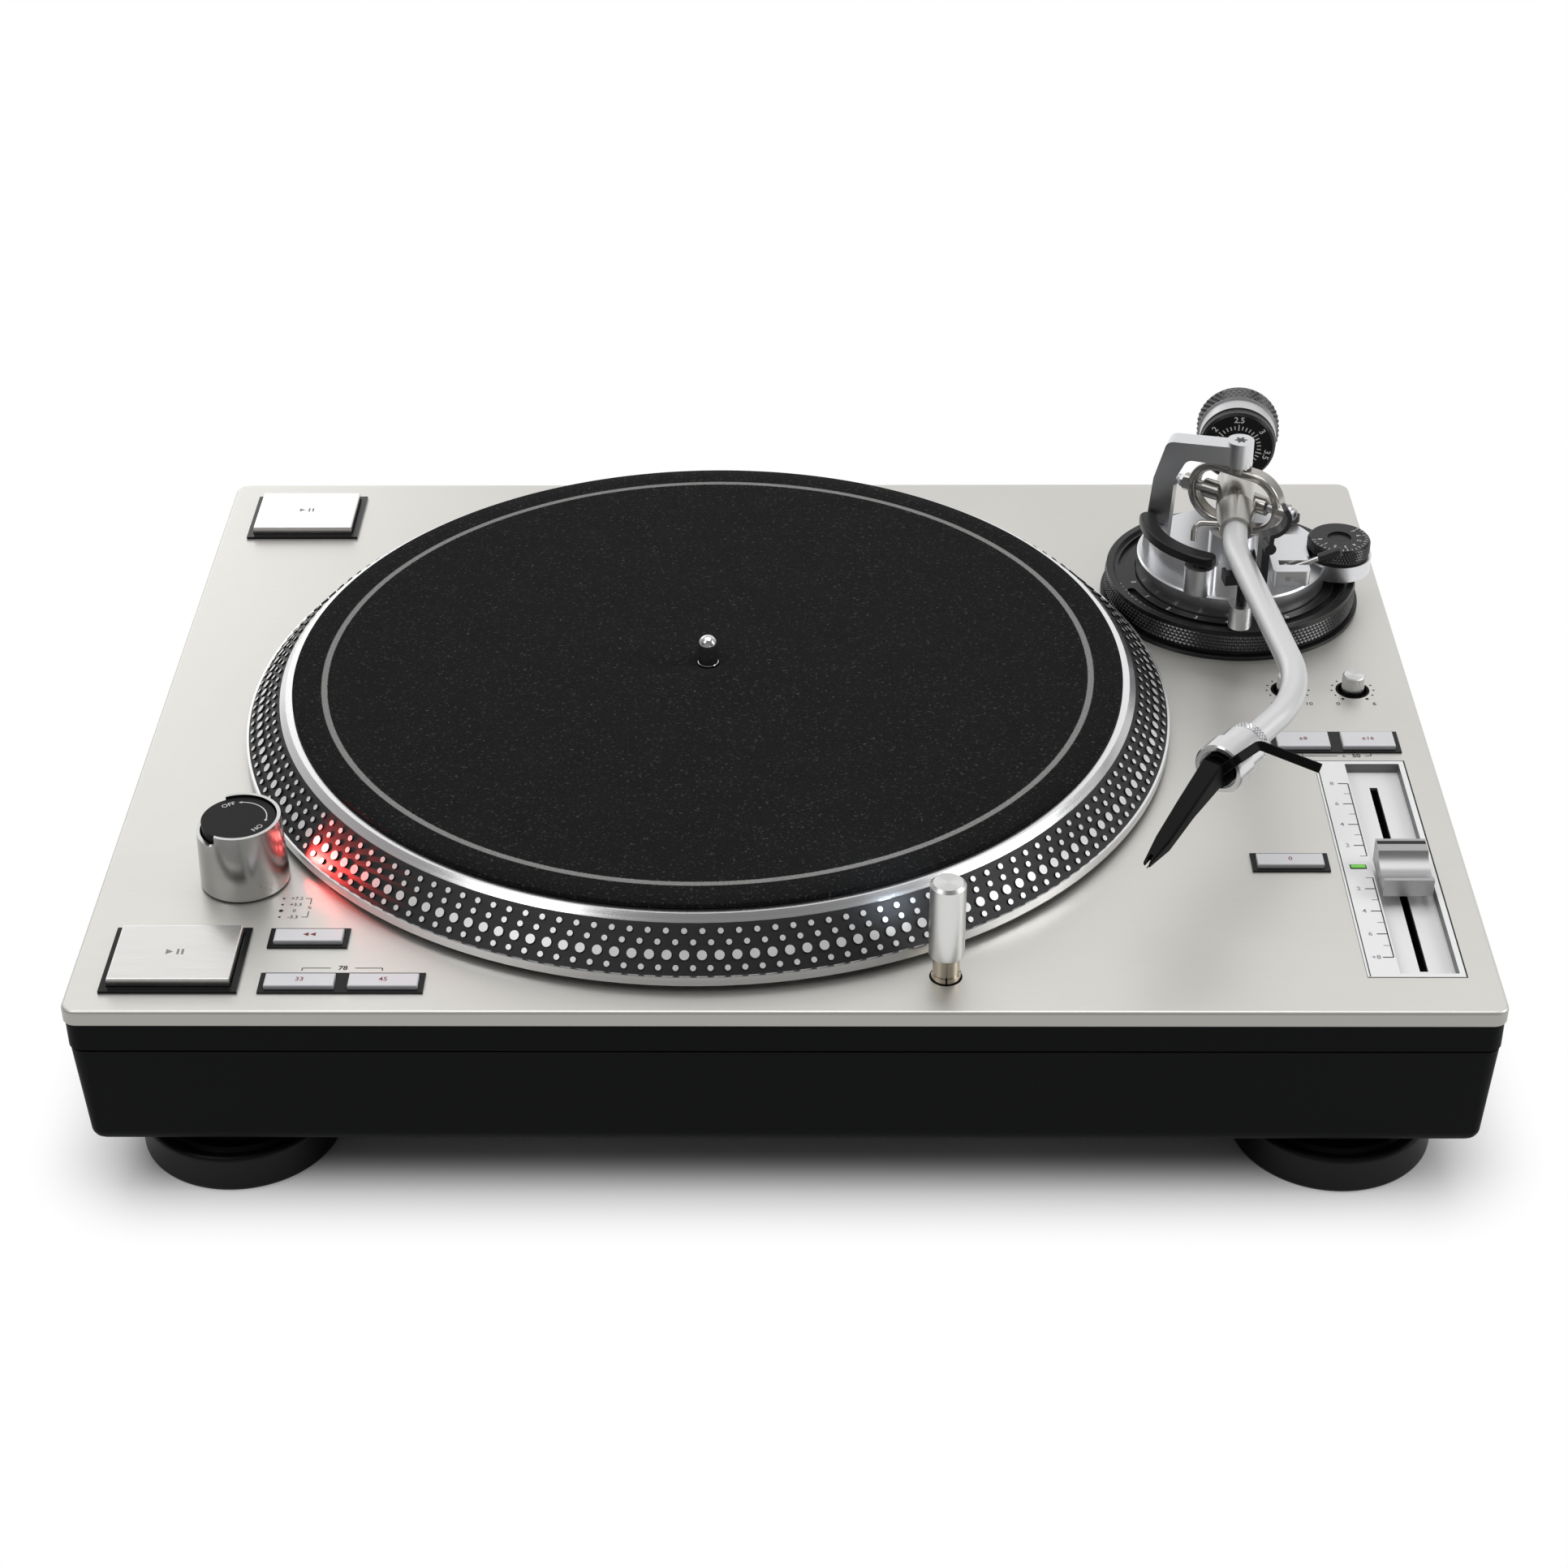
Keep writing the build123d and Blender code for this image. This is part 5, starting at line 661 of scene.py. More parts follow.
# %% Lamp, weight and lever
beyond_end = 99.0
lamp_satin = along_axis("lamp_satin", middle_of("lamp_body", deck), (0, 0, 1), [
    (8.5, (0.62, 0.56, 0.46), 1.0, 0.24), (beyond_end, (0.70, 0.70, 0.69), 1.0, 0.30)], streak=0.75)
weight_finish = along_axis("weight_finish", arm_pivot, -arm_ahead, [
    (45.4, (0.008, 0.008, 0.009), 0.0, 0.4), (53.15, (0.66, 0.66, 0.67), 1.0, 0.34),
    (beyond_end, (0.008, 0.008, 0.009), 0.0, 0.36)])
lever_angle = math.radians(22)
lever_ahead = Vector((math.cos(lever_angle), 0, math.sin(lever_angle)))
lever_finish = along_axis("lever_finish", on_deck(187.5, 66.2, 21.8), lever_ahead, [
    (12.9, (0.62, 0.61, 0.59), 1.0, 0.2), (beyond_end, (0.006, 0.006, 0.007), 0.0, 0.42)])
print("two-finish pieces:", lamp_satin.name, weight_finish.name, lever_finish.name)

# %% [markdown]
# ## Star socket of the arm post
# The screw in the top of the arm post is driven by a star key. The post is the highest point of the
# player, and a modelled screw head would make it taller. So the material paints the star dark and not
# metallic, as the shade inside the socket: it compares the distance from the axis of the post with a
# radius that swells six times in one turn.

# %% Star socket of the arm post
star_radius, star_swell, star_depth = 1.95 * mm, 0.55 * mm, 0.05 * mm
post_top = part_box("arm_yoke")[1].z
post_cast = cast_bright.copy()
post_cast.name = "post_cast"
tree = post_cast.node_tree
shader = tree.nodes["Principled BSDF"]
place = split(tree, spot_on(tree))
across = add_math(tree, "SUBTRACT", place["X"], arm_pivot.x)
deep = add_math(tree, "SUBTRACT", place["Y"], arm_pivot.y)
six_turns = add_math(tree, "MULTIPLY", add_math(tree, "ARCTAN2", deep, across), 6.0)
lobes = add_math(tree, "MULTIPLY", add_math(tree, "COSINE", six_turns), star_swell)
outline = add_math(tree, "ADD", lobes, star_radius)
inside = add_math(tree, "LESS_THAN", diagonal(tree, across, deep), outline)
on_top = add_math(tree, "GREATER_THAN", place["Z"], post_top - star_depth)
star = add_math(tree, "MULTIPLY", inside, on_top)
# Painted shade: the star of the socket is dark and not metallic.
paint_over(tree, shader, star, (0.012, 0.012, 0.012))
tree.links.new(spread(tree, star, 0.0, 1.0, 1.0, 0.0), shader.inputs["Metallic"])
print("post top in mm:", round(post_top / mm, 2))

# %% [markdown]
# ## Platter finish
# The platter is one casting whose rim is turned bright, while the sloping band that carries the dots is
# painted black. Two materials would need the mesh to be split, so one material tells the band from the
# rim by its distance from the spindle and by the direction that it faces.

# %% Platter metal with its black band
band_inner, band_outer = 153.4 * mm, 165.45 * mm
platter_metal, shader = new_finish("platter_metal", 1.0)
tree = platter_metal.node_tree
rings = place_group(tree, turned_rings, Centre=joints["platter_spin"]["pos_m"], Ring_mm=0.5)
past_inner = add_math(tree, "GREATER_THAN", rings["Radius"], band_inner)
within_outer = add_math(tree, "LESS_THAN", rings["Radius"], band_outer)
faces_up = add_math(tree, "GREATER_THAN", place_group(tree, looks_up)["Up"], 0.2)
band = add_math(tree, "MULTIPLY", add_math(tree, "MULTIPLY", past_inner, within_outer), faces_up)
bright = two_tone(tree, rings["Rings"], (0.76, 0.76, 0.77), (0.90, 0.90, 0.91))
tree.links.new(two_tone(tree, band, bright, (0.011, 0.011, 0.012)), shader.inputs["Base Color"])
tree.links.new(spread(tree, band, 0.0, 1.0, 1.0, 0.0), shader.inputs["Metallic"])
smooth_ring = spread(tree, rings["Rings"], 0.3, 0.7, 0.16, 0.265)
duller_band = add_math(tree, "MULTIPLY", band, 0.24)
tree.links.new(add_math(tree, "ADD", smooth_ring, duller_band), shader.inputs["Roughness"])
raise_by(tree, shader, rings["Rings"], 0.006)
streak_round(tree, shader, 0.45)
print("band in mm:", round(band_inner / mm, 1), round(band_outer / mm, 1))

# %% [markdown]
# ## Lights on the player
# A red lamp in the switch shines through a slit on to the dots, the plug-in lamp throws a small cool spot
# on the edge of the record, and a green lamp marks the middle of the fader. The windows glow by
# themselves, and two small lamps of the scene carry their light on to the platter.


# %% Red window and green lamp
def glowing(name, grain, drift, glass, light, strength, roughness):
    """Lit window. The glass and its light each go between two tones, with the grain and the drift."""
    finish, shader = new_finish(name)
    tree = finish.node_tree
    noise = place_group(tree, fine_grain, Grain_mm=grain, Drift_mm=drift)
    tree.links.new(two_tone(tree, noise["Grain"], *glass), shader.inputs["Base Color"])
    tree.links.new(two_tone(tree, noise["Drift"], *light), shader.inputs["Emission Color"])
    shader.inputs["Emission Strength"].default_value = strength
    shader.inputs["Roughness"].default_value = roughness
    return finish


red_glass = glowing("red_glass", 1.5, 6.0, ((0.75, 0.02, 0.02), (0.95, 0.06, 0.05)),
                    ((1.0, 0.34, 0.31), (1.0, 0.54, 0.50)), strength=1.8, roughness=0.2)
lamp_green = glowing("lamp_green", 0.8, 2.5, ((0.06, 0.35, 0.02), (0.14, 0.50, 0.05)),
                     ((0.08, 0.36, 0.01), (0.20, 0.52, 0.04)), strength=0.6, roughness=0.25)
print("windows:", red_glass.name, lamp_green.name)

# %% Small lamps
for name, place, target, colour, watts, cone in (
        ("red_lamp", on_deck(-165.5, -100.5, 10), on_deck(-149.4, -104.5, 14), (1.0, 0.05, 0.045), 0.22, 120),
        ("record_lamp", on_deck(47.5, -152, 33), on_deck(33, -133, 20), (0.72, 0.84, 1.0), 0.013, 85)):
    hang_lamp(name, "SPOT", place, target, watts, color=colour, spot_size=math.radians(cone),
              spot_blend=0.9, shadow_soft_size=2 * mm)
    print(name, "in watts:", watts)

# %% [markdown]
# ## Give each solid its finish
# The record already says which slot each solid belongs to. A table from slot to finish covers most of
# them, and a few solids that were worked in another way get a finish of their own.

# %% Assign the finishes
finish_of_slot = {
    "deck_silver": silver_lacquer, "case_black": satin_black, "foot_rubber": foot_rubber,
    "fastener_steel": screw_steel, "platter_metal": platter_metal, "cap_metal": brushed_cap,
    "bezel_gloss": gloss_black, "button_grey": button_cap, "tray_silver": tray_white,
    "core_black": core_black, "window_red": red_glass, "lamp_green": lamp_green,
    "motor_steel": motor_steel, "magnet_grey": magnet_grey, "coil_copper": coil_copper,
    "bearing_brass": bearing_brass, "board_green": board_green, "ring_black": ring_black,
    "cast_bright": cast_bright, "arm_nickel": arm_nickel, "arm_satin": arm_satin,
    "weight_black": ring_black, "cartridge_black": cartridge_black, "terminal_metal": terminal_metal}
own_finish = {
    "power_sleeve": sleeve_satin, "fader_knob": knob_brush, "torque_knob": torque_turned,
    "brake_knob": brake_turned, "lamp_body": lamp_satin, "spindle": spindle_chrome,
    "counterweight": weight_finish, "cue_lever": lever_finish, "headshell_collar": collar_metal,
    "arm_yoke": post_cast}
for part in frame["record"]["subparts"]:
    solid = nodes[part["node"]]
    finish = own_finish.get(part["node"], finish_of_slot.get(part["material_slot"], ring_black))
    if not solid.material_slots:
        solid.data.materials.append(finish)
    for slot in solid.material_slots:
        slot.material = finish

# %% [markdown]
# ## Dots on the platter's rim
# Under a blinking lamp the rows of dots seem to stand still when the speed is right. Each row has its own
# count and size, and the dots are small studs with black sides and bright tops. They could be painted by
# the material, but as studs they catch the light one by one, as in the photograph.


# %% Make a piece from a mesh
def make_piece(name, shape, finish, body, second=None, smooth=False):
    """Turns a bmesh into an object with one or two finishes, which rides on a body."""
    mesh = bpy.data.meshes.new(name)
    shape.to_mesh(mesh)
    shape.free()
    for face in mesh.polygons:
        face.use_smooth = smooth
    mesh.materials.append(finish)
    if second:
        mesh.materials.append(second)
    piece = bpy.data.objects.new(name, mesh)
    bpy.context.scene.collection.objects.link(piece)
    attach(piece, body)
    return piece


def spoke(axis, angle):
    """Direction at right angles to an axis, at an angle round it."""
    first = axis.orthogonal().normalized()
    return first * math.cos(angle) + axis.cross(first) * math.sin(angle)


def join_rings(shape, rings):
    """Faces with finish 1 between rings of points, and a face with finish 0 that closes the last one."""
    for low, high in zip(rings, rings[1:]):
        for step in range(len(low)):
            after = (step + 1) % len(low)
            shape.faces.new((low[step], low[after], high[after], high[step])).material_index = 1
    shape.faces.new(rings[-1])


def add_stud(shape, centre, normal, size, rise, sides=14):
    """Low round stud with a bevelled rim, on a surface with the given normal. Its sides are finish 1."""
    spokes = [spoke(normal, 2 * math.pi * step / sides) for step in range(sides)]
    outline = ((size / 2, 0.0), (size / 2, rise * 0.8), (size / 2 - rise * 0.15, rise))
    join_rings(shape, [[shape.verts.new(centre + side * radius + normal * lift) for side in spokes]
                       for radius, lift in outline])


print("piece helpers ready")

# %% Rows of dots
spindle = Vector(joints["platter_spin"]["pos_m"])
slope_top = Vector((153.4 * mm, deck + 17.7 * mm))
slope_foot = Vector((165.4 * mm, deck + 5.6 * mm))
slope_run = slope_foot - slope_top
slope_normal = Vector((-slope_run.y, slope_run.x)).normalized()
dot_rise = 0.55 * mm
dot_metal = moulded("dot_metal", (0.74, 0.74, 0.735), (0.95, 0.95, 0.945), 0.285, 0.36,
                    grain=3.0, relief=0.004, metallic=0.45)
dot_side = moulded("dot_side", (0.003, 0.003, 0.003), (0.006, 0.006, 0.006), 0.5, 0.6,
                   grain=0.5, relief=0.01, specular=0.2)
dots = bmesh.new()
for share, count, size in ((0.158, 168, 2.1), (0.372, 174, 2.1), (0.612, 180, 3.4), (0.855, 186, 2.1)):
    row = slope_top + slope_run * share
    for step in range(count):
        angle = 2 * math.pi * (step + 0.5) / count
        around = Vector((math.cos(angle), math.sin(angle), 0))
        centre = Vector((spindle.x, spindle.y, 0)) + around * row.x + Vector((0, 0, row.y))
        normal = around * slope_normal.x + Vector((0, 0, slope_normal.y))
        add_stud(dots, centre, normal, size * mm, dot_rise)
    print("dots in a row:", count)
make_piece("strobe_dots", dots, dot_metal, "platter", dot_side)

# %% [markdown]
# ## Slip mat
# The mat is a disc of black felt that lets the record slide. Felt has no weave: short fibres lie in
# every direction, some of them lighter, and a thin printed ring runs near the edge. The disc is cut
# from many rings of faces, so that it can lie a little uneven, as cloth does.

# %% Felt
ring_radius, ring_half, ring_fray = 137.25 * mm, 0.9 * mm, 0.3 * mm
felt, shader = new_finish("felt", specular=0.06)
tree = felt.node_tree
rings = place_group(tree, turned_rings, Centre=joints["slipmat_slip"]["pos_m"], Ring_mm=2.0)
fibres = place_group(tree, fine_grain, Grain_mm=0.75, Drift_mm=14.0)
specks = noise_of(tree, spot_on(tree), 1.1, 2.0, 0.7)
dense = spread(tree, fibres["Grain"], 0.3, 0.75)
black = two_tone(tree, dense, (0.0035, 0.0036, 0.004), (0.013, 0.0135, 0.014))
flecked = two_tone(tree, spread(tree, specks, 0.60, 0.78), black, (0.085, 0.085, 0.082))
frayed = spread(tree, fibres["Grain"], 0.0, 1.0, -ring_fray, ring_fray)
frayed_radius = add_math(tree, "ADD", rings["Radius"], frayed)
off_middle = add_math(tree, "ABSOLUTE", add_math(tree, "SUBTRACT", frayed_radius, ring_radius))
on_ring = spread(tree, off_middle, ring_half + ring_fray, ring_half)
ring_tone = two_tone(tree, fibres["Grain"], (0.14, 0.14, 0.135), (0.36, 0.36, 0.35))
tree.links.new(two_tone(tree, on_ring, flecked, ring_tone), shader.inputs["Base Color"])
tree.links.new(spread(tree, fibres["Drift"], 0.0, 1.0, 0.9, 1.0), shader.inputs["Roughness"])
shader.inputs["Sheen Weight"].default_value = 0.05
shader.inputs["Sheen Roughness"].default_value = 0.5
raise_by(tree, shader, fibres["Grain"], 0.25)
print("finish:", felt.name)

# %% Profile of the disc
mat_low, mat_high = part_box("slipmat")
mat_radius = (mat_high.x - mat_low.x) / 2
mat_hole = 4.2 * mm
top_rings = 24
mat_profile = [(mat_hole, mat_low.z), (mat_hole, mat_high.z - 0.2 * mm)]
mat_profile += [(mat_hole + 0.3 * mm + step / top_rings * (mat_radius - mat_hole - 0.8 * mm), mat_high.z)
                for step in range(top_rings + 1)]
mat_profile += [(mat_radius - 0.15 * mm, mat_high.z - 0.18 * mm), (mat_radius, mat_high.z - 0.6 * mm),
                (mat_radius, mat_low.z + 0.3 * mm), (mat_radius - 0.2 * mm, mat_low.z)]
print("points in the profile:", len(mat_profile))

# %% Disc of felt
around_count = 240
ripple_depth = 0.06 * mm
disc = bmesh.new()
columns = []
for step in range(around_count):
    angle = 2 * math.pi * step / around_count
    column = []
    for radius, height in mat_profile:
        if height == mat_high.z:
            wave = math.sin(5 * angle + radius * 60) * math.cos(3 * angle - radius * 90)
            height -= ripple_depth * (1 + wave) / 2
        x, y = spindle.x + radius * math.cos(angle), spindle.y + radius * math.sin(angle)
        column.append(disc.verts.new((x, y, height)))
    columns.append(column)
for step in range(around_count):
    here, there = columns[step], columns[(step + 1) % around_count]
    for point in range(len(mat_profile)):
        after = (point + 1) % len(mat_profile)
        disc.faces.new((here[point], there[point], there[after], here[after]))
bmesh.ops.recalc_face_normals(disc, faces=disc.faces)
felt_mat = make_piece("felt_mat", disc, felt, "slipmat", smooth=True)
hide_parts("slipmat")
print("mat across in mm:", round(2 * mat_radius / mm, 1))

# %% [markdown]
# ## Knurling
# Grips on the arm base, the weight and the collar are rolled between toothed wheels, which press rows of
# small pyramids into the metal. A bump texture would look flat along the outline, so the pyramids are
# real faces, each row turned by half a step. The dial and the knobs have plain straight ribs instead.


# %% Knurls
def make_knurl(name, finish, body, centre, axis, radius, low, high, rows, count, rise):
    """Piece with rows of small pyramids round an axis, between two distances along it, in millimetres."""
    shape = bmesh.new()
    tall = (high - low) / rows
    half_turn = 0.97 * math.pi / count

    def on_grip(turn, far, out):
        return shape.verts.new(centre + spoke(axis, turn) * out * mm + axis * far * mm)

    for row in range(rows):
        start, end = low + tall * (row + 0.02), low + tall * (row + 0.98)
        for step in range(count):
            turn = 2 * math.pi * (step + 0.5 * (row % 2)) / count
            corners = [on_grip(turn + side * half_turn, far, radius)
                       for side, far in ((-1, start), (1, start), (1, end), (-1, end))]
            tip = on_grip(turn, (start + end) / 2, radius + rise)
            for corner in range(4):
                shape.faces.new((corners[corner], corners[(corner + 1) % 4], tip))
    make_piece(name, shape, finish, body)
    print(name, "pyramids:", rows * count)


up = Vector((0, 0, 1))
ring_centre = Vector((arm_pivot.x, arm_pivot.y, deck))
make_knurl("height_ring_grip", grip_black, "height_ring", ring_centre, up,
           radius=47.35, low=2.7, high=9.7, rows=5, count=176, rise=0.55)
skate_low, skate_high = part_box("anti_skate_dial")
skate_centre = middle_of("anti_skate_dial")
make_knurl("anti_skate_grip", grip_black, "anti_skate_dial", skate_centre, up,
           radius=(skate_high.x - skate_low.x) / 2 / mm, low=-5.3, high=-0.7, rows=4, count=64, rise=0.32)
make_knurl("counterweight_grip", grip_black, "counterweight", arm_pivot, -arm_ahead,
           radius=15.55, low=53.5, high=61.7, rows=4, count=46, rise=0.6)

# %% Collar grip
shell_angle = math.radians(36)
shell_ahead = Vector((-math.sin(shell_angle), -math.cos(shell_angle), 0))
tube_angle = math.radians(7)
tube_ahead = Vector((math.sin(tube_angle), -math.cos(tube_angle), 0))
first_bend = arm_pivot + arm_ahead * 40.6 * mm
second_bend = first_bend + tube_ahead * 100.8 * mm
collar_front = second_bend + shell_ahead * (102.9 - 43.6) * mm
make_knurl("collar_grip", collar_metal, "headshell_collar", collar_front, -shell_ahead,
           radius=6.85, low=18.35, high=21.3, rows=3, count=36, rise=0.45)


# %% Ribs of the dial and the knobs
def make_ribs(name, finish, body, centre, axis, radius, low, high, count, rise):
    """Piece with straight ribs round an axis, between two distances along it, in millimetres."""
    shape = bmesh.new()
    for step in range(count):
        edges = []
        for share, out in ((-0.45, radius), (0.0, radius + rise), (0.45, radius)):
            foot = centre + spoke(axis, 2 * math.pi * (step + share) / count) * out * mm
            edges.append([shape.verts.new(foot + axis * far * mm) for far in (low, high)])
        for left, right in zip(edges, edges[1:]):
            shape.faces.new((left[0], right[0], right[1], left[1]))
        for end in (0, 1):
            shape.faces.new([edge[end] for edge in edges])
    make_piece(name, shape, finish, body)
    print(name, "ribs:", count)


make_ribs("force_dial_ribs", grip_black, "force_dial", arm_pivot, -arm_ahead,
          radius=14.35, low=41.9, high=45.1, count=110, rise=0.3)
for knob, finish in (("torque_knob", torque_turned), ("brake_knob", brake_turned)):
    make_ribs(knob + "_ribs", finish, knob, middle_of(knob, deck), up,
              radius=3.96, low=-1.5, high=6.1, count=40, rise=0.16)

# %% [markdown]
# ## Print
# Scales and numbers are screen printed: a film of ink some hundredths of a millimetre thick. Text objects
# could stay as they are, but as meshes they join the other strokes of their piece and need one finish
# only. What is printed is plain: numbers, ticks and common signs.

# %% Inks
ink = 0.03 * mm
dark_ink, grey_ink, red_ink, pale_ink = (
    moulded(name, dark, light, 0.45, 0.6, grain=0.15, relief=0.004, specular=0.2) for name, dark, light in (
        ("dark_ink", (0.016, 0.0155, 0.015), (0.028, 0.027, 0.026)),
        ("grey_ink", (0.22, 0.22, 0.22), (0.30, 0.30, 0.30)),
        ("red_ink", (0.17, 0.030, 0.030), (0.24, 0.048, 0.046)),
        ("pale_ink", (0.68, 0.68, 0.67), (0.80, 0.80, 0.79))))
print("inks:", 4)


# %% Strokes and words
def add_patch(shape, corners, normal=up):
    """Flat printed patch with the given corners, as thick as the ink."""
    low = [shape.verts.new(corner) for corner in corners]
    high = [shape.verts.new(corner + normal * ink) for corner in corners]
    shape.faces.new(high)
    for step in range(len(low)):
        after = (step + 1) % len(low)
        shape.faces.new((low[step], low[after], high[after], high[step]))


def add_stroke(shape, start, end, width, normal=up):
    """Straight printed line between two points. Its width is in millimetres."""
    across = normal.cross((end - start).normalized()) * width * mm / 2
    add_patch(shape, [start - across, end - across, end + across, start + across], normal)


back = Vector((0, 1, 0))


def add_words(shape, text, centre, height, letter_up=back, normal=up, bold=0.0):
    """Printed numbers, centred on a point. The height is that of a capital, in millimetres."""
    letters = bpy.data.curves.new("letters", "FONT")
    letters.body = text
    letters.size = height * mm / 0.7
    letters.align_x = "CENTER"
    letters.align_y = "CENTER"
    letters.resolution_u = 3
    letters.offset = bold * height * mm
    letters.extrude = ink / 2
    holder = bpy.data.objects.new("letters", letters)
    mesh = bpy.data.meshes.new_from_object(holder)
    axes = Matrix((letter_up.cross(normal), letter_up, normal)).transposed().to_4x4()
    mesh.transform(Matrix.Translation(centre + normal * ink / 2) @ axes)
    shape.from_mesh(mesh)
    bpy.data.objects.remove(holder)
    bpy.data.meshes.remove(mesh)
    bpy.data.curves.remove(letters)


print("ink in mm:", round(ink / mm, 3))

# %% Print on the deck
deck_print = bmesh.new()
small_line, bracket_line = 0.3, 0.34
for row, number, size in ((-115.7, "+7.2", 0.9), (-119.15, "+3.3", 0.9), (-122.6, "0", 1.5),
                          (-126.1, "-3.3", 0.9)):
    add_stud(deck_print, on_deck(-166.4, row), up, size * mm, ink)
    add_words(deck_print, number, on_deck(-162.0, row), 1.6, bold=0.01)
for row, tip in ((-115.7, -119.0), (-126.1, -122.8)):
    add_stroke(deck_print, on_deck(-159.2, row), on_deck(-157.2, row), small_line)
    add_stroke(deck_print, on_deck(-157.2, row), on_deck(-157.2, tip), small_line)
for row, tip, foot, inner in ((-153.9, -155.3, -154.8, -145.6), (-153.9, -155.3, -128.9, -137.8),
                              (-29.0, -27.6, 183.2, 195.6), (-29.0, -27.6, 207.5, 205.2)):
    add_stroke(deck_print, on_deck(foot, row), on_deck(inner, row), bracket_line)
    add_stroke(deck_print, on_deck(foot, row), on_deck(foot, tip), bracket_line)
for text, x, row, height, bold in (("%", -157.2, -120.9, 1.5, 0.0), ("78", -141.7, -153.9, 2.1, 0.035),
                                   ("±", 197.8, -29.0, 1.7, 0.0), ("50", 202.2, -29.0, 2.1, 0.035)):
    add_words(deck_print, text, on_deck(x, row), height, bold=bold)
print("faces on the deck so far:", len(deck_print.faces))


# %% Print round the knobs
def around_point(centre, degrees, radius):
    """Point at an angle and a radius in millimetres round a centre, level with it."""
    angle = math.radians(degrees)
    return centre + Vector((math.cos(angle), math.sin(angle), 0)) * radius * mm


last_dot = 11
for knob, low_number, high_number in (("torque_knob", "0", "10"), ("brake_knob", "0", "6")):
    foot = middle_of(knob, deck)
    for step in range(last_dot + 1):
        size = 1.3 if step in (0, last_dot) else 0.85
        add_stud(deck_print, around_point(foot, 235 - 290 * step / last_dot, 7.7), up, size * mm, ink, 10)
    for number, x in ((low_number, -6.6), (high_number, 6.6)):
        add_words(deck_print, number, foot + Vector((x, -9.7, 0)) * mm, 2.0, bold=0.015)
make_piece("deck_print", deck_print, dark_ink, "case", dark_ink)
print("deck print made")

# %% Scale beside the fader
led_middle = middle_of("pitch_zero_led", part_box("fader_tray")[1].z)
unit = 6.31
last_unit = 8
scale_lines, scale_light = bmesh.new(), bmesh.new()


def on_tray(x, units):
    """Point on the scale strip, from an x in millimetres and a count of units from the middle."""
    return Vector((x * mm, led_middle.y + units * unit * mm, led_middle.z))


for way in (-1, 1):
    add_stroke(scale_lines, on_tray(196.5, way), on_tray(196.5, way * last_unit), 0.4)
    for step in range(1, last_unit + 1):
        units = way * step
        if step % 2:
            add_stroke(scale_light, on_tray(194.2, units), on_tray(196.4, units), 0.36)
        else:
            add_stroke(scale_lines, on_tray(193.0, units), on_tray(196.5, units), 0.46)
            label = "+8" if units == -last_unit else str(step)
            add_words(scale_light, label, on_tray(190.9, units), 2.0, bold=0.01)
strip_edge = [Vector((187.5 * mm, y * mm, led_middle.z)) for y in (-32.9, -158.3)]
add_stroke(scale_lines, *strip_edge, 0.36)
make_piece("scale_lines", scale_lines, dark_ink, "case")
make_piece("scale_numbers", scale_light, grey_ink, "case")
print("scale unit in mm:", unit)

# %% [markdown]
# ## Lens of the zero lamp
# The middle of the fader is marked by a lamp under a small moulded lens with a sloping edge. The flat top
# of the solid would do from far away, but the slope catches the light. So three outlines, one above the
# other, are joined to a low block, with a dark edge and a green top.

# %% Lens of the zero lamp
lens = bmesh.new()
lens_half = Vector((2.75, 1.25)) * mm
lens_rows = []
for inset, lift in ((0.0, 0.0), (0.0, 0.12 * mm), (0.35 * mm, 0.28 * mm)):
    wide, deep = lens_half.x - inset, lens_half.y - inset
    lens_rows.append([lens.verts.new(led_middle + Vector((x * wide, y * deep, lift)))
                      for x, y in ((-1, -1), (1, -1), (1, 1), (-1, 1))])
join_rings(lens, lens_rows)
make_piece("zero_lens", lens, lamp_green, "case", dark_ink)
print("lens in mm:", [round(2 * side / mm, 2) for side in lens_half])

# %% [markdown]
# ## Seam and index line
# A dark gap shows where the tray meets the plate, at the back and on the right, and the fader knob has a
# dark line across its top that points at the scale. Both are too thin for solids, so they are strokes of
# dark ink.

# %% Dark seam round the fader tray and line on its knob
seam = bmesh.new()
add_stroke(seam, on_deck(186.3, -32.35), on_deck(218.5, -32.35), 0.55)
add_stroke(seam, on_deck(218.35, -32.35), on_deck(218.35, -158.7), 0.5)
make_piece("tray_seam", seam, dark_ink, "case")
index_line = bmesh.new()
knob_low, knob_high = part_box("fader_knob")
index_y, index_inset = -96.6 * mm, 0.2 * mm
add_stroke(index_line, Vector((knob_low.x + index_inset, index_y, knob_high.z)),
           Vector((knob_high.x - index_inset, index_y, knob_high.z)), 1.8)
make_piece("fader_index", index_line, dark_ink, "fader_knob")
print("index line at y in mm:", round(index_y / mm, 1))


# %% Print on the buttons
def add_sign(shape, middle, corners):
    """Flat printed sign with corners in millimetres from a middle point."""
    add_patch(shape, [middle + Vector((x, y, 0)) * mm for x, y in corners])


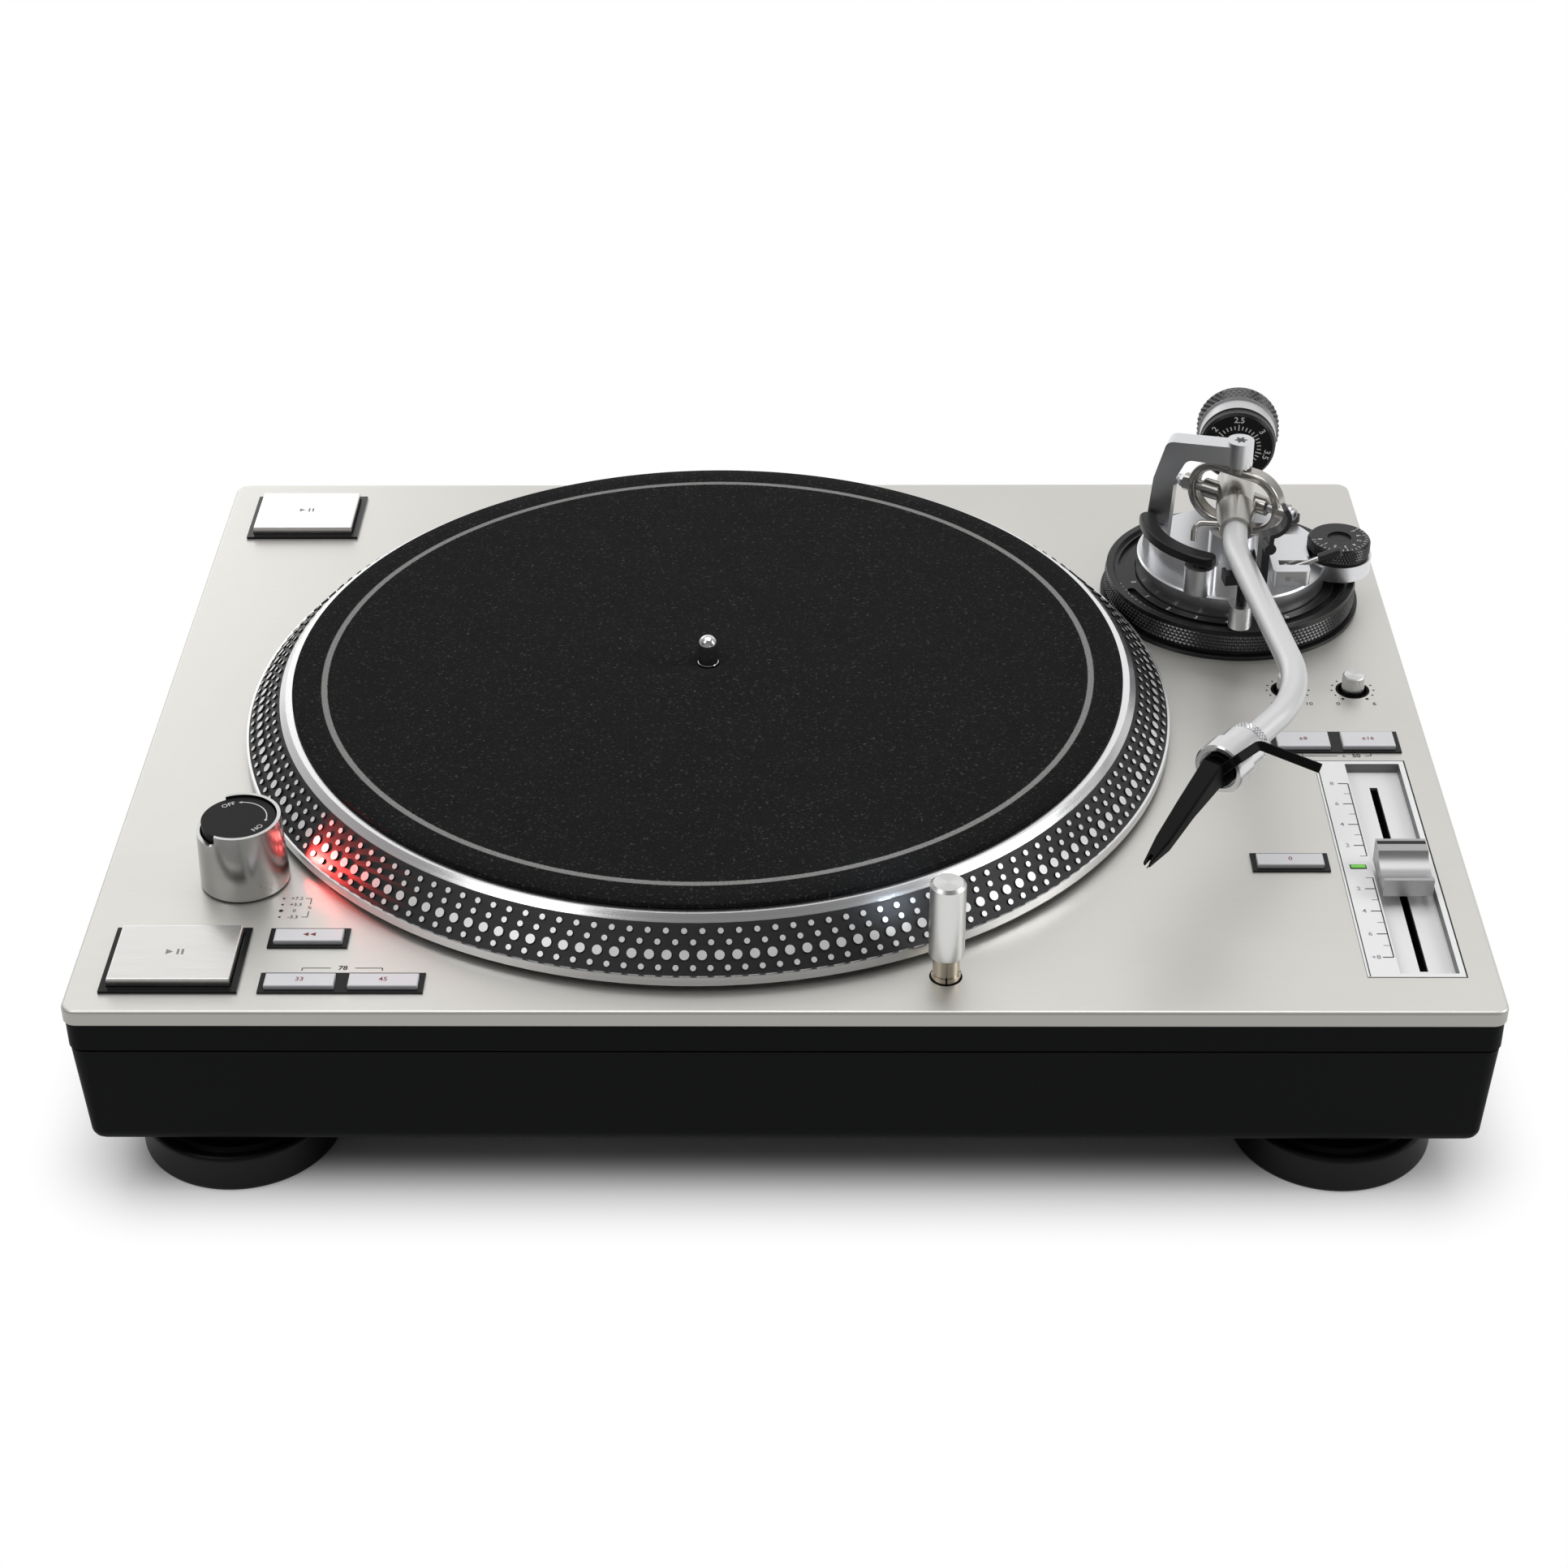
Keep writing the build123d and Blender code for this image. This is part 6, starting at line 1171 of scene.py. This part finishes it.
for node, text in (("speed_33_button", "33"), ("speed_45_button", "45"), ("range_8_button", "±8"),
                   ("range_16_button", "±16"), ("reset_button", "0")):
    number = bmesh.new()
    add_words(number, text, middle_of(node), 2.0, bold=0.012)
    make_piece(node + "_print", number, red_ink, node)
for node in ("start_button_front", "start_button_rear"):
    sign = bmesh.new()
    middle = middle_of(node)
    add_sign(sign, middle, ((-3.0, -1.4), (-0.7, 0.0), (-3.0, 1.4)))
    for x in (0.9, 2.4):
        add_stroke(sign, middle + Vector((x, -1.4, 0)) * mm, middle + Vector((x, 1.4, 0)) * mm, 0.75)
    make_piece(node + "_print", sign, grey_ink, node)
sign = bmesh.new()
for x in (-1.9, 0.4):
    add_sign(sign, middle_of("reverse_button"), ((x, 0), (x + 1.9, -1.0), (x + 1.9, 1.0)))
make_piece("reverse_button_print", sign, red_ink, "reverse_button")
print("buttons printed:", 8)

# %% Print on the switch
switch_middle = middle_of("strobe_core")
arc_radius, arrow_half = 9.4, 0.6
switch_print = bmesh.new()
for text, degrees in (("OFF", 120), ("ON", -38)):
    place = around_point(switch_middle, degrees, 9.0)
    add_words(switch_print, text, place, 1.9, (place - switch_middle).normalized())
arc = [around_point(switch_middle, 93 - 99 * step / 16, arc_radius) for step in range(17)]
for here, there in zip(arc, arc[1:]):
    add_stroke(switch_print, here, there, 0.34)
for tip, tail, side in ((98, 91, arrow_half), (-11, -4, -arrow_half)):
    add_patch(switch_print, [around_point(switch_middle, tail, arc_radius + side),
                             around_point(switch_middle, tail, arc_radius - side),
                             around_point(switch_middle, tip, arc_radius)])
make_piece("switch_print", switch_print, pale_ink, "case")
print("switch print made")

# %% Print on the force dial
dial_face = arm_pivot - arm_ahead * 41.0 * mm
dial_right = up.cross(arm_ahead)
dial_print = bmesh.new()


def dial_way(share):
    """Direction out from the axis of the dial after a share of one turn."""
    angle = 2 * math.pi * share
    return dial_right * math.sin(angle) + up * math.cos(angle)


for step in range(35):
    reaches = (7.2, 9.7) if step % 5 == 0 else (7.6, 9.2)
    ends = [dial_face + dial_way(step / 35) * reach * mm for reach in reaches]
    add_stroke(dial_print, *ends, 0.4, arm_ahead)
dial_numbers = ("2.5", "3", "3.5", "0.5", "1", "1.5", "2")
for step, text in enumerate(dial_numbers):
    outward = dial_way(step / len(dial_numbers))
    add_words(dial_print, text, dial_face + outward * 11.6 * mm, 2.4, outward, arm_ahead, bold=0.015)
make_piece("force_dial_print", dial_print, pale_ink, "force_dial")
print("dial numbers:", len(dial_numbers))


# %% Print on the height ring and the anti-skate dial
def add_tick(shape, centre, degrees, inner, outer, width):
    """Printed tick between two radii round a centre, in millimetres."""
    add_stroke(shape, around_point(centre, degrees, inner), around_point(centre, degrees, outer), width)


ring_print = bmesh.new()
ring_top = ring_centre + up * 10.5 * mm
for step in range(31):
    add_tick(ring_print, ring_top, 192 + 3.5 * step, 43.3, 44.6, 0.3)
for number in range(7):
    place = around_point(ring_top, 192 + 17.5 * number, 38.6)
    add_words(ring_print, str(number), place, 2.0, (ring_top - place).normalized())
make_piece("height_ring_print", ring_print, pale_ink, "height_ring")
skate_print = bmesh.new()
for step in range(22):
    add_tick(skate_print, skate_centre, 190 + 10 * step, 9.2 if step % 3 == 0 else 9.8, 10.8, 0.25)
for number in range(8):
    place = around_point(skate_centre, 190 + 30 * number, 7.5)
    add_words(skate_print, str(number), place, 1.7, (place - skate_centre).normalized())
make_piece("anti_skate_print", skate_print, pale_ink, "anti_skate_dial")
print("ring and dial printed")

# %% [markdown]
# ## Screw heads
# The gimbal turns on two small screws with a six-lobed socket. The socket is too fine for the solids, so
# each head gets a thin bright disc with a dark star on it, painted as the shade inside the socket. The
# material could draw it, as on the arm post, but there is room for a disc here, and its edge can be seen
# from the side.


# %% Heads with a six-lobed socket
def add_star(shape, centre, normal, size, points=24):
    """Six-lobed dark patch on a screw head, painted as the shade inside its socket."""
    corners = []
    for step in range(points):
        angle = 2 * math.pi * step / points
        corners.append(centre + spoke(normal, angle) * size * (0.5 + 0.14 * math.cos(6 * angle)))
    add_patch(shape, corners, normal)


screw_size, socket_size, screw_reach = 3.0 * mm, 2.16 * mm, 25.0 * mm
pitch_axis = Vector((math.cos(shell_angle), -math.sin(shell_angle), 0))
for name, normal in (("gimbal_screw_right", pitch_axis), ("gimbal_screw_left", -pitch_axis)):
    head = arm_pivot + normal * screw_reach
    disc_shape, star_shape = bmesh.new(), bmesh.new()
    add_stud(disc_shape, head, normal, screw_size, ink, 20)
    add_star(star_shape, head + normal * ink, normal, socket_size)
    make_piece(name + "_head", disc_shape, screw_steel, "gimbal", screw_steel)
    # Painted shade: a dark star where the socket is.
    make_piece(name + "_socket", star_shape, dot_side, "gimbal")
print("screw heads:", 2)

# %% [markdown]
# ## Rings in the rear sockets
# Each signal socket has a plastic ring between its shell and its contact, red for the right channel and
# white for the left, so that the two can't be mixed up. They could be solids, but two low studs on each
# mouth are enough: a coloured one, and a black one on top of it, painted as the shade inside the hole.

# %% Rings in the rear sockets
ring_red = moulded("ring_red", (0.42, 0.020, 0.020), (0.55, 0.035, 0.030), 0.35, 0.45, relief=0.004)
ring_white = moulded("ring_white", (0.72, 0.72, 0.70), (0.82, 0.82, 0.80), 0.35, 0.45, relief=0.004)
socket_back, socket_height, ring_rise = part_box("signal_terminals")[1].y, 43.0 * mm, 0.2 * mm
for name, x, finish in (("left_socket", -64.0, ring_white), ("right_socket", -48.0, ring_red)):
    mouth = Vector((x * mm, socket_back, socket_height))
    ring_shape, hole_shape = bmesh.new(), bmesh.new()
    add_stud(ring_shape, mouth, back, 6.2 * mm, ring_rise, 28)
    add_stud(hole_shape, mouth + back * ring_rise, back, 3.0 * mm, ink, 20)
    make_piece(name + "_ring", ring_shape, finish, "case", finish)
    # Painted shade: the black stud stands for the dark inside of the hole.
    make_piece(name + "_hole", hole_shape, dot_side, "case", dot_side)
print("socket rings:", 2)
